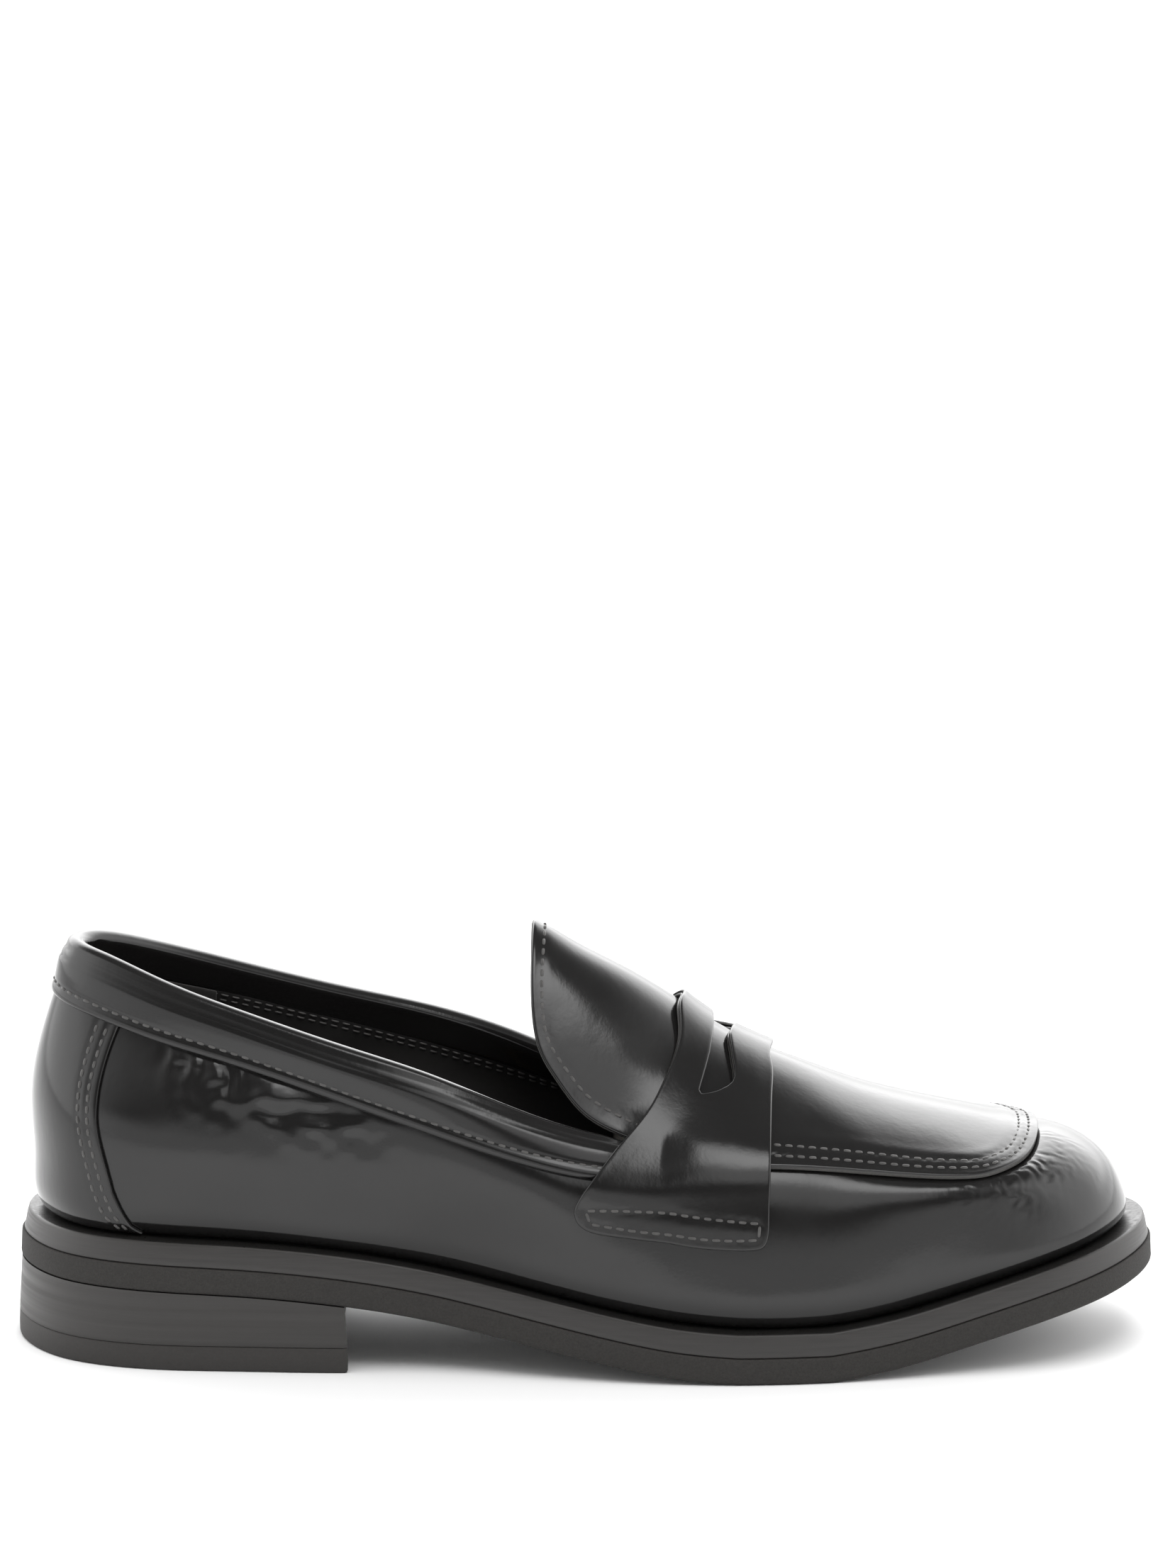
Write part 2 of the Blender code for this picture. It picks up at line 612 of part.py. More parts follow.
def main():
    for item in list(bpy.data.objects):
        bpy.data.objects.remove(item, do_unlink=True)
    black = (0.012, 0.011, 0.011)
    finishes = {
        "leather": material("black_leather", black, 0.28),
        "lining": material("lining_leather", (0.02, 0.018, 0.017), 0.6),
        "suede": material("heel_suede", (0.025, 0.022, 0.021), 0.95),
        "stiffener": material("fibre_stiffener", (0.55, 0.5, 0.42), 0.8),
        "cloth": material("interlining_cloth", (0.7, 0.68, 0.63), 0.9),
        "board": material("insole_board", (0.45, 0.33, 0.22), 0.85),
        "cork": material("cork_filler", (0.42, 0.25, 0.13), 0.9),
        "foam": material("footbed_foam", (0.75, 0.72, 0.62), 0.95),
        "steel": material("steel", (0.55, 0.55, 0.56), 0.35, 1.0),
        "welt": material("welt_edge", (0.035, 0.032, 0.03), 0.42),
        "outsole": material("outsole_rubber", (0.022, 0.021, 0.02), 0.75),
        "stacked": material("heel_block", (0.03, 0.028, 0.027), 0.45),
        "rubber": material("top_piece_rubber", (0.018, 0.017, 0.017), 0.7),
    }
    build_sole(finishes)
    build_wall(finishes)
    build_crown_pieces(finishes)
    build_strap(finishes)


main()
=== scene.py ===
import math
from functools import partial

import bmesh
import bpy
import numpy as np
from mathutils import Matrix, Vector
from mathutils.geometry import delaunay_2d_cdt


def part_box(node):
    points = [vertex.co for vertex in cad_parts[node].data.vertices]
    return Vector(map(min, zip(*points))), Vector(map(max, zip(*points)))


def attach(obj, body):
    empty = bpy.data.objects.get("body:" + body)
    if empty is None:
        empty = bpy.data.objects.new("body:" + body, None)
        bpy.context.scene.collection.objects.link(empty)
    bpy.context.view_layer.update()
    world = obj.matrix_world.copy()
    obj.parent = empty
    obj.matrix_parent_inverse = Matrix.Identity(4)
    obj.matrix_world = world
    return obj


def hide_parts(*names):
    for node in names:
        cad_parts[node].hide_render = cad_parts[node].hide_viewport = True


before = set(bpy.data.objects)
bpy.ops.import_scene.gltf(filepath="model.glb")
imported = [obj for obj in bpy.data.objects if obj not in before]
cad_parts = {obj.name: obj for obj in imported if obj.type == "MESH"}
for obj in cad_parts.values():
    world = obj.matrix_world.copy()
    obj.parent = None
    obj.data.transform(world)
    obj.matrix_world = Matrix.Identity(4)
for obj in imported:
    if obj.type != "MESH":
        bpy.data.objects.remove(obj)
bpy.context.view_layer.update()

# The looks of a right penny loafer. Lengths are in millimetres up to make_piece,
# which writes metres. The design surfaces are those of the CAD model: the wall is
# the outer face of the vamp (u counts stations round the shoe from the centre back,
# v counts design lines upwards) and the crown is the height of the vamp on top.
MM = 0.001
STATIONS = 30
TOE = 15

# ---- sizes read from the frame ---------------------------------------------


def box_mm(node):
    low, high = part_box(node)
    return np.array(low) / MM, np.array(high) / MM


WELT_BOX = box_mm("welt_midsole")
TOP_PIECE_BOX = box_mm("heel_top_piece")
HEEL_BREAST_X = box_mm("heel_block")[1][0]

# ---- sole ------------------------------------------------------------------
OUTSOLE_THICK = 6.3
WELT_THICK = 5.6
OUTSOLE_PROUD = 1.6
WELT_MARGIN = 4.8
HEEL_FLARE = 0.7
TREAD_FLAT = (36.0, 58.0)
BOTTOM_REAR = ((-136, 19.4), (-83, 18.2), (-57, 15.9), (-37, 12.4), (-14, 7.9), (8, 3.5),
               (22, 1.2), (36, 0))
BOTTOM_FRONT = ((58, 0), (74, 2.6), (90, 6.6), (109, 11.7), (136, 17.6))

# ---- upper -----------------------------------------------------------------
LEATHER = 1.2
MARGIN_TURN = 12.0
WELT = ((-133.4, 0), (-130.6, 13), (-123, 24.4), (-109, 32), (-84, 34.6), (-57.7, 34),
        (-37, 32.8), (-14, 38.6), (8, 44.9), (38, 48.6), (66, 46), (92, 40.4),
        (108.5, 35.6), (121.5, 27), (129.8, 14.6), (133, 0))
BULGE = ((-130.9, 0, 43), (-128.2, 12.4, 43), (-121, 22.8, 42.5), (-107.5, 29.8, 41.5),
         (-84, 32.2, 39), (-57.7, 31.8, 36.5), (-37, 31.8, 33.5), (-14, 36.6, 29.5),
         (8, 42.2, 25.2), (38, 45.2, 23.4), (66, 42.6, 24.6), (92, 36.6, 28.4),
         (107.2, 31.1, 32.2), (119, 22.8, 34), (125.6, 12, 34.8), (127.8, 0, 34.9))
MIDDLE = ((-131.4, 0, 60), (-128.7, 12, 60), (-121, 21.9, 59.4), (-106.5, 28.8, 57.6),
          (-84, 31.6, 54), (-57.7, 32.2, 49), (-37, 33.6, 44.8), (-14, 37.6, 40.2),
          (8, 41.4, 36.8), (38, 42.2, 37.2), (66, 39.8, 36.8), (92, 34.4, 38.4),
          (105, 28.6, 40.8), (115.2, 20.2, 41.8), (121.6, 10.6, 42.2), (123.8, 0, 42))
SEAM = ((-125.9, 0, 83.6), (-123.6, 7.8, 82.8), (-117, 14.4, 81), (-105, 20.6, 77.6),
        (-84, 26.2, 72.2), (-57.7, 30.8, 64.1), (-37, 34, 57.4), (-14, 37.2, 50.4),
        (8, 38.4, 46.8), (38, 36.4, 49.2), (66, 34.2, 46.8), (88, 32.4, 44.9),
        (99.2, 27.2, 45.7), (104.6, 19, 46.9), (107, 9.8, 48.3), (107.6, 0, 48.9))
TOPLINE = ((-122.4, 0, 94.8), (-120.4, 6.4, 94.4), (-114.2, 12, 93), (-103, 18, 89.2),
           (-84, 23.6, 83.1), (-57.7, 29, 75.2), (-37, 31, 68.8), (-14, 31.8, 59.7),
           (8, 32.2, 53.9))
MEDIAL_RISE = ((6, 1.2), (7, 2.4))        # station and how much higher the medial side is
RIDGE = ((-16, 100.6), (-10, 97.8), (-4, 94), (5, 89.1), (16, 82.8), (24, 77.4), (30, 73.6),
         (36, 70.2), (42, 67.6), (49, 64.8), (60, 60.3), (73, 56.1), (82, 53.9), (92, 51.6),
         (101, 49.7))
SHOULDER = ((-15, 18.4, 78.6), (-12, 24, 69.4), (-3, 18, 77.6), (-3, 27.4, 61), (8, 18.6, 73.4),
            (8, 29.4, 55.4), (24, 19, 66.6), (24, 31, 55.4), (42, 18.8, 61.2), (42, 30, 54.2),
            (66, 18, 54.9), (66, 28.4, 50.6), (86, 16.5, 50.9), (88, 26.6, 47.6), (98, 16, 48.6))

# half outlines in plan, from the rear centre to the front centre
APRON_SIDE = ((-13.4, 0), (-13.5, 9), (-13.2, 16.4), (-11.6, 20.8), (-7.6, 24.2), (-1.5, 27.4),
              (8, 29.6), (16, 32.4), (24, 35.2), (38, 36.4), (52, 35.4), (66, 34.2), (78, 33.4),
              (88, 32.3), (94.4, 30.6), (99.2, 27.2), (102.6, 23), (104.8, 18.4), (106.8, 9.6),
              (107.4, 0))
LINING_SIDE = ((-13, 0), (-13.1, 9), (-12.8, 16.2), (-11.2, 20.5), (-7.2, 23.9), (-1.1, 27),
               (8, 28), (16, 28), (24, 28.2), (38, 28.6), (52, 27.6), (66, 26.6), (76, 25.6),
               (84, 24.8), (92, 21), (98, 13), (100, 0))

STRAP_LAYER = 1.0              # the strap is two layers of this thickness
STRAP_GAP = 0.06               # gap between the two
CUT_EDGE = 0.42                # radius of the rounded edge of cut leather
STITCH = 2.8                   # stitch pitch


# ---- curves ----------------------------------------------------------------
def natural_spline(knots, values, at):
    """Cubic spline through values at knots. Leading axes may hold many splines."""
    knots = np.asarray(knots, float)
    values = np.asarray(values, float)
    at = np.asarray(at, float)
    count = knots.shape[-1]
    step = np.diff(knots)
    slope = np.diff(values, axis=-2) / step[..., None]
    matrix = np.zeros(knots.shape[:-1] + (count, count))
    right = np.zeros_like(values)
    matrix[..., 0, 0] = 1
    matrix[..., -1, -1] = 1
    for i in range(1, count - 1):
        matrix[..., i, i - 1] = step[..., i - 1]
        matrix[..., i, i] = 2 * (step[..., i - 1] + step[..., i])
        matrix[..., i, i + 1] = step[..., i]
        right[..., i, :] = 6 * (slope[..., i, :] - slope[..., i - 1, :])
    bend = np.linalg.solve(matrix, right)
    i = np.clip((at[..., None] >= knots[..., None, :]).sum(-1) - 1, 0, count - 2)
    low = np.take_along_axis(knots, i, -1)
    width = np.take_along_axis(step, i, -1)
    b = ((at - low) / width)[..., None]
    a = 1 - b
    j = i[..., None]
    pick = [np.take_along_axis(item, j + k, -2) for item in (values, bend) for k in (0, 1)]
    curve = ((a ** 3 - a) * pick[2] + (b ** 3 - b) * pick[3]) * width[..., None] ** 2 / 6
    return a * pick[0] + b * pick[1] + curve


def simple_spline(pairs, at):
    knots, values = zip(*pairs)
    flat = np.ravel(at)
    made = natural_spline(np.array(knots), np.array(values, float)[:, None], flat)
    return made[:, 0].reshape(np.shape(at))


def chord_lengths(points):
    steps = np.linalg.norm(np.diff(points, axis=-2), axis=-1)
    start = np.zeros(steps.shape[:-1] + (1,))
    return np.concatenate([start, np.cumsum(steps, -1)], -1)


def smooth_step(value, low, high):
    t = np.clip((np.asarray(value, float) - low) / (high - low), 0, 1)
    return t * t * (3 - 2 * t)


def between(value, rise_from, rise_to, fall_from, fall_to):
    """1 inside a zone, easing to 0 on both sides of it."""
    return smooth_step(value, rise_from, rise_to) * (1 - smooth_step(value, fall_from, fall_to))


def hump(distance, middle, width):
    """A soft ridge of height 1 across a line at a distance."""
    return np.exp(-((distance - middle) / width) ** 2)


def sway(x, line):
    """Sideways shift of the shoe's middle line, by X and by design line."""
    x = np.asarray(x, float)
    waist = -4.2 * np.exp(-((x + 32) / 42) ** 2) * max(0.1, 1 - 0.3 * line)
    toe = 2.2 / (1 + np.exp(-(x - 60) / 16))
    return waist + toe - 0.6


def closed_line(half, line):
    half = np.array(half, float)
    near = half.copy()
    near[:, 1] = sway(half[:, 0], line) - half[:, 1]
    far = half[-2:0:-1].copy()
    far[:, 1] = sway(far[:, 0], line) + far[:, 1]
    return np.concatenate([near, far])


def inset(loop, distance):
    """Moves a closed loop inwards in plan."""
    ahead = np.roll(loop, -1, axis=0) - np.roll(loop, 1, axis=0)
    inward = np.stack([-ahead[:, 1], ahead[:, 0]], 1)
    inward /= np.linalg.norm(inward, axis=1)[:, None]
    moved = loop.copy()
    moved[:, :2] += inward * np.reshape(distance, (-1, 1))
    return moved


def sole_bottom(x):
    x = np.asarray(x, float)
    rear = simple_spline(BOTTOM_REAR, x)
    front = simple_spline(BOTTOM_FRONT, x)
    z = np.where(x < TREAD_FLAT[0], rear, np.where(x > TREAD_FLAT[1], front, 0.0))
    return np.maximum(z, 0.0)


def welt_top(x):
    return sole_bottom(x) + OUTSOLE_THICK + WELT_THICK


# ---- crown -----------------------------------------------------------------
def cubic_kernel(a, b):
    return (((a[:, None, :] - b[None, :, :]) ** 2).sum(2) / 900) ** 1.5


def build_crown():
    """Smooth height through the ridge, the shoulders and the apron's edge."""
    points = [(x, sway(x, 6), z) for x, z in RIDGE]
    for x, b, z in SHOULDER + SEAM[8:TOE]:
        points += [(x, sway(x, 4) - b, z), (x, sway(x, 4) + b, z)]
    points += [(SEAM[TOE][0], sway(SEAM[TOE][0], 4), SEAM[TOE][2])]
    points = np.array(points, float)
    plan = points[:, :2]
    bend = cubic_kernel(plan, plan) + 0.004 * np.eye(len(plan))
    flat = np.column_stack([np.ones(len(plan)), plan])
    system = np.block([[bend, flat], [flat.T, np.zeros((3, 3))]])
    return plan, np.linalg.solve(system, np.append(points[:, 2], [0, 0, 0]))


def crown_height(x, y):
    plan, weights = CROWN
    at = np.column_stack([np.ravel(x), np.ravel(y)])
    z = cubic_kernel(at, plan) @ weights[:-3] + weights[-3] + at @ weights[-2:]
    return z.reshape(np.shape(x))


def crown(x, y):
    """Points on the crown and their normals."""
    d = 0.4
    z = crown_height(x, y)
    slope_x = (crown_height(x + d, y) - crown_height(x - d, y)) / (2 * d)
    slope_y = (crown_height(x, y + d) - crown_height(x, y - d)) / (2 * d)
    normal = np.stack([-slope_x, -slope_y, np.ones_like(z)], -1)
    return np.stack([x, y, z], -1), unit(normal)


def unit(vectors):
    return vectors / np.linalg.norm(vectors, axis=-1)[..., None]


# ---- wall ------------------------------------------------------------------
def design_lines():
    welt = closed_line([(x, b, 0) for x, b in WELT], 0)
    welt[:, 2] = welt_top(welt[:, 0])
    feather = inset(welt, WELT_MARGIN)
    feather[:, 2] = welt_top(feather[:, 0]) + 1.0
    turn = inset(feather, 1.5)
    margin = inset(feather, MARGIN_TURN)
    for loop in (turn, margin):
        loop[:, 2] = welt_top(loop[:, 0]) + 0.05
    seam = closed_line(SEAM, 3)
    top = closed_line(TOPLINE + SEAM[9:], 4)
    for station, rise in MEDIAL_RISE:
        top[STATIONS - station, 2] += rise
    under_apron = inset(seam, 5.2)
    front = slice(9, STATIONS - 8)
    top[front] = under_apron[front]
    top[front, 2] = crown_height(top[front, 0], top[front, 1])
    return [margin, turn, feather, closed_line(BULGE, 1), closed_line(MIDDLE, 2), seam, top]


def loop_points(loop, u):
    """Points of one closed design line at stations u, which may be fractions."""
    u = np.asarray(u, float)
    lengths = STATION_LENGTHS
    period = lengths[-1]
    turn = np.floor(u / STATIONS)
    along = np.interp(u - turn * STATIONS, np.arange(STATIONS + 1), lengths)
    knots = np.concatenate([lengths[:-1] - period, lengths[:-1], lengths[:-1] + period])
    return natural_spline(knots, np.concatenate([loop] * 3), along)


def wall_base(u, v):
    """Wall points on a grid of stations u and design lines v; v may be a full grid."""
    u = np.asarray(u, float)
    v = np.asarray(v, float)
    if v.ndim == 1:
        v = np.broadcast_to(v, (len(u), len(v)))
    columns = np.stack([loop_points(loop, u) for loop in LINES], 1)
    knots = chord_lengths(columns)
    lines = np.arange(-2, 5)
    at = np.stack([np.interp(row, lines, knot) for row, knot in zip(v, knots)])
    at += np.maximum(v - 4, 0) * (knots[:, -1:] - knots[:, -2:-1])
    return natural_spline(knots, columns, at)


def wall(u, v):
    """Wall points and outward normals. u may be a full grid too."""
    u = np.asarray(u, float)
    v = np.asarray(v, float)
    if u.ndim == 2:
        flat_u = u.reshape(-1)
        flat_v = np.broadcast_to(v, u.shape).reshape(-1, 1)
        points, normals = wall(flat_u, flat_v)
        return points.reshape(*u.shape, 3), normals.reshape(*u.shape, 3)
    d = 0.03
    along = wall_base(u + d, v) - wall_base(u - d, v)
    up = wall_base(u, v + d) - wall_base(u, v - d)
    return wall_base(u, v), unit(np.cross(along, up))


CROWN = build_crown()
LINES = design_lines()
FEATHER = LINES[2][:, :2]
STATION_LENGTHS = chord_lengths(np.concatenate([FEATHER, FEATHER[:1]]))
WELT_LOOP = inset(LINES[2], -WELT_MARGIN)
DESIGN_MIDDLE = (WELT_LOOP.max(0) + WELT_LOOP.min(0)) / 2
FRAME_MIDDLE = (WELT_BOX[0] + WELT_BOX[1]) / 2
SHIFT = np.array([*(FRAME_MIDDLE - DESIGN_MIDDLE)[:2], 0])


# ---- meshes ----------------------------------------------------------------
def make_piece(name, vertices, faces, materials, slots=None, nodes=()):
    mesh = bpy.data.meshes.new(name)
    points = (np.asarray(vertices, float) + SHIFT) * MM
    mesh.from_pydata(points.tolist(), [], [tuple(map(int, face)) for face in faces])
    for item in materials:
        mesh.materials.append(item)
    if slots is not None:
        mesh.polygons.foreach_set("material_index", np.asarray(slots, np.int32))
    mesh.shade_smooth()
    mesh.set_sharp_from_angle(angle=math.radians(50))
    piece = bpy.data.objects.new(name, mesh)
    bpy.context.scene.collection.objects.link(piece)
    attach(piece, "root")
    if nodes:
        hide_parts(*nodes)
    return piece


def noise(points, scale, seed, octaves=2):
    """Smooth random values near -1 to 1 at points, made of rotated sine waves."""
    random = np.random.default_rng(seed)
    total = np.zeros(points.shape[:-1])
    for octave in range(octaves):
        for _ in range(7):
            direction = random.normal(size=3)
            direction /= np.linalg.norm(direction)
            wave = scale / 2 ** octave * random.uniform(0.7, 1.4)
            phase = random.uniform(0, 2 * math.pi)
            total += np.sin(points @ direction * 2 * math.pi / wave + phase) / 2 ** octave
    return total / 5


def edge_drop(distance, radius=CUT_EDGE):
    """How far a rounded edge falls below the sheet at a distance from the cut."""
    inside = np.clip(radius - distance, 0, radius)
    return radius - np.sqrt(np.maximum(radius ** 2 - inside ** 2, 0))


def grid_faces(rows, columns, flip=False, wrap=False):
    faces = []
    last = columns if wrap else columns - 1
    for i in range(rows - 1):
        for j in range(last):
            a = i * columns + j
            b = i * columns + (j + 1) % columns
            face = (a, b, b + columns, a + columns)
            faces.append(face[::-1] if flip else face)
    return faces


def grid_sheet(name, base, normal, low, high, materials, nodes=(), slot=None):
    """Closed leather sheet over a grid of points, with rounded cut edges.

    low and high are the distances of its two faces from the points. The materials are
    those of the outer face, the inner face and the cut edge.
    """
    rows, columns = base.shape[:2]
    down = chord_lengths(np.swapaxes(base, 0, 1)).T
    across = chord_lengths(base)
    edge = np.min([down, down[-1:] - down, across, across[:, -1:] - across], axis=0)
    drop = edge_drop(edge)
    outer = base + normal * (np.broadcast_to(high, edge.shape) - drop)[..., None]
    inner = base + normal * (np.broadcast_to(low, edge.shape) + drop * 0.5)[..., None]
    vertices = np.concatenate([outer.reshape(-1, 3), inner.reshape(-1, 3)])
    count = rows * columns
    faces = grid_faces(rows, columns)
    kinds = [0] * len(faces)
    back = [tuple(i + count for i in face[::-1]) for face in faces]
    kinds += [1] * len(back)
    border = list(range(columns))
    border += [i * columns + columns - 1 for i in range(1, rows)]
    border += [(rows - 1) * columns + j for j in range(columns - 2, -1, -1)]
    border += [i * columns for i in range(rows - 2, 0, -1)]
    rim_faces = [(b, a, a + count, b + count) for a, b in zip(border, border[1:] + border[:1])]
    kinds += [2] * len(rim_faces)
    piece = make_piece(name, vertices, faces + back + rim_faces, materials, kinds, nodes)
    face_outwards(piece)
    return piece


def face_outwards(piece):
    work = bmesh.new()
    work.from_mesh(piece.data)
    bmesh.ops.recalc_face_normals(work, faces=work.faces)
    work.to_mesh(piece.data)
    work.free()


def fine_lines(first, last, count, edge=0.02):
    """Grid lines between two ends, with closer ones beside the ends."""
    inner = np.linspace(first, last, count)[1:-1]
    near = np.array([0, 0.15, 0.4, 1.0]) * edge
    lines = np.concatenate([first + near, inner, last - near])
    return np.unique(lines[(lines >= first) & (lines <= last)])


# ---- cut sheets on any outline ---------------------------------------------
def inside_polygon(points, polygon):
    x, y = points[:, 0], points[:, 1]
    inside = np.zeros(len(points), bool)
    for (ax, ay), (bx, by) in zip(polygon, np.roll(polygon, -1, axis=0)):
        if ay == by:
            continue
        crosses = (ay > y) != (by > y)
        inside ^= crosses & (x < (bx - ax) * (y - ay) / (by - ay) + ax)
    return inside


def outline_distance(points, polygon):
    """Distance from each point to a closed outline, and where along it."""
    a = polygon
    b = np.roll(polygon, -1, axis=0)
    length = np.linalg.norm(b - a, axis=1)
    start = np.append(0, np.cumsum(length)[:-1])
    best = np.full(len(points), 1e9)
    along = np.zeros(len(points))
    for k in range(len(a)):
        t = np.clip(((points - a[k]) @ (b[k] - a[k])) / max(length[k] ** 2, 1e-9), 0, 1)
        gap = np.linalg.norm(points - (a[k] + t[:, None] * (b[k] - a[k])), axis=1)
        nearer = gap < best
        best[nearer] = gap[nearer]
        along[nearer] = start[k] + t[nearer] * length[k]
    return best, along


def closed_curve(points, spacing):
    """Even points on a smooth closed curve through a few points."""
    points = np.array(points, float)
    ring = np.concatenate([points[-3:], points, points[:4]])
    knots = chord_lengths(ring)
    dense = natural_spline(knots, ring, np.linspace(knots[3], knots[3 + len(points)], 4000))
    lengths = chord_lengths(dense)
    count = int(lengths[-1] / spacing)
    at = np.linspace(0, lengths[-1], count, endpoint=False)
    return np.stack([np.interp(at, lengths, dense[:, k]) for k in (0, 1)], 1)


def even_points(corners, spacing):
    """Even points on a closed polyline, keeping its corners."""
    made = []
    for a, b in zip(corners, np.roll(corners, -1, axis=0)):
        count = max(1, int(round(np.linalg.norm(b - a) / spacing)))
        made += [a + (b - a) * k / count for k in range(count)]
    return np.array(made)


EDGE_RINGS = (0.1, 0.24, 0.45, 0.9)       # rings of points that shape a cut edge


def cut_mesh(outline, holes, spacing):
    """Triangles that fill an outline in a plane, with rings of points along its edges."""
    rings = [outline, *holes]
    points = np.concatenate(rings)
    for distance in EDGE_RINGS:
        for ring, side in [(outline, 1)] + [(hole, -1) for hole in holes]:
            x, y = ring.T
            area = np.sum(x * np.roll(y, -1) - np.roll(x, -1) * y)
            moved = inset(ring, distance * side * np.sign(area))
            points = np.concatenate([points, moved])
    low, high = outline.min(0), outline.max(0)
    xs = np.arange(low[0], high[0] + spacing, spacing)
    ys = np.arange(low[1], high[1] + spacing, spacing)
    fill = np.stack(np.meshgrid(xs, ys, indexing="ij"), -1)
    fill[1::2, :, 1] += spacing / 2
    fill = fill.reshape(-1, 2)
    keep = inside_polygon(fill, outline)
    for ring in rings:
        keep &= outline_distance(fill, ring)[0] > EDGE_RINGS[-1] + spacing * 0.6
    for hole in holes:
        keep &= ~inside_polygon(fill, hole)
    points = np.concatenate([points, fill[keep]])
    edges = []
    start = 0
    for ring in rings:
        count = len(ring)
        edges += [(start + k, start + (k + 1) % count) for k in range(count)]
        start += count
    made = delaunay_2d_cdt([Vector(p) for p in points], edges, [], 0, 1e-5)
    verts = np.array([tuple(p) for p in made[0]])
    faces = np.array(made[2])
    centres = verts[faces].mean(1)
    good = inside_polygon(centres, outline)
    for hole in holes:
        good &= ~inside_polygon(centres, hole)
    return verts, faces[good]


def cut_sheet(name, outline, holes, spacing, place, low, high, materials, nodes=(),
              relief=None):
    """Closed leather sheet cut to an outline; place maps the plane onto the shoe."""
    plan, faces = cut_mesh(outline, holes, spacing)
    distance = np.min([outline_distance(plan, ring)[0] for ring in [outline, *holes]], axis=0)
    base, normal = place(plan)
    drop = edge_drop(distance)
    raised = relief(plan, base) if relief else 0.0
    outer = base + normal * (high - drop + raised)[:, None]
    inner = base + normal * (low + drop * 0.5)[:, None]
    used = np.unique(faces)
    remap = np.full(len(plan), -1)
    remap[used] = np.arange(len(used))
    faces = remap[faces]
    size = len(used)
    vertices = np.concatenate([outer[used], inner[used]])
    area = np.cross(plan[used][faces[:, 1]] - plan[used][faces[:, 0]],
                    plan[used][faces[:, 2]] - plan[used][faces[:, 0]])
    faces = np.where(area[:, None] > 0, faces, faces[:, ::-1])
    ends = np.concatenate([faces[:, [0, 1]], faces[:, [1, 2]], faces[:, [2, 0]]])
    keys = {tuple(edge) for edge in ends.tolist()}
    border = [edge for edge in keys if (edge[1], edge[0]) not in keys]
    all_faces = [tuple(face) for face in faces]
    kinds = [0] * len(all_faces)
    all_faces += [tuple(int(i) + size for i in face[::-1]) for face in faces]
    kinds += [1] * len(faces)
    for a, b in sorted(border):
        all_faces.append((b, a, a + size, b + size))
    kinds += [2] * len(border)
    piece = make_piece(name, vertices, all_faces, materials, kinds, nodes)
    face_outwards(piece)
    return piece


# ---- stitching -------------------------------------------------------------
THREAD = 0.33                  # radius of the upper's thread
LINING_THREAD = 0.24           # radius of the linings' thread
STITCH_SINK = 0.06             # how deep the thread is pulled into the leather
STITCH_FILL = 0.78             # share of the pitch over which a stitch shows
ROWS_OF_THREAD = []


def stitch_row(points, normals, lift, radius=THREAD):
    """Adds one row of stitches along a path, lifted along its normals."""
    points = points + normals * lift
    lengths = chord_lengths(points)
    count = max(1, int(round(lengths[-1] / STITCH)))
    pitch = lengths[-1] / count
    sides, rings = 8, 7
    for k in range(count):
        at = (k + 0.5) * pitch + np.linspace(-0.5, 0.5, rings) * pitch * STITCH_FILL
        middle = np.stack([np.interp(at, lengths, points[:, i]) for i in range(3)], 1)
        up = unit(np.stack([np.interp(at, lengths, normals[:, i]) for i in range(3)], 1))
        ahead = unit(np.gradient(middle, axis=0))
        side = unit(np.cross(ahead, up))
        t = np.linspace(-1, 1, rings)
        thick = radius * np.sqrt(np.maximum(1 - t ** 4, 0.02))
        rise = radius * 0.45 - STITCH_SINK - 0.35 * t ** 4
        angle = np.linspace(0, 2 * math.pi, sides, endpoint=False)
        circle = np.cos(angle)[None, :, None] * side[:, None] * 1.15
        circle = circle + np.sin(angle)[None, :, None] * up[:, None]
        tube = (middle + up * rise[:, None])[:, None] + circle * thick[:, None, None]
        ROWS_OF_THREAD.append(tube)


def make_threads(name, material):
    vertices = []
    faces = []
    for tube in ROWS_OF_THREAD:
        rings, sides = tube.shape[:2]
        start = len(vertices)
        vertices += tube.reshape(-1, 3).tolist()
        for face in grid_faces(rings, sides, wrap=True):
            faces.append(tuple(start + i for i in face))
        faces.append(tuple(start + i for i in range(sides)))
        faces.append(tuple(start + (rings - 1) * sides + i for i in reversed(range(sides))))
    ROWS_OF_THREAD.clear()
    piece = make_piece(name, vertices, faces, [material])
    face_outwards(piece)
    return piece


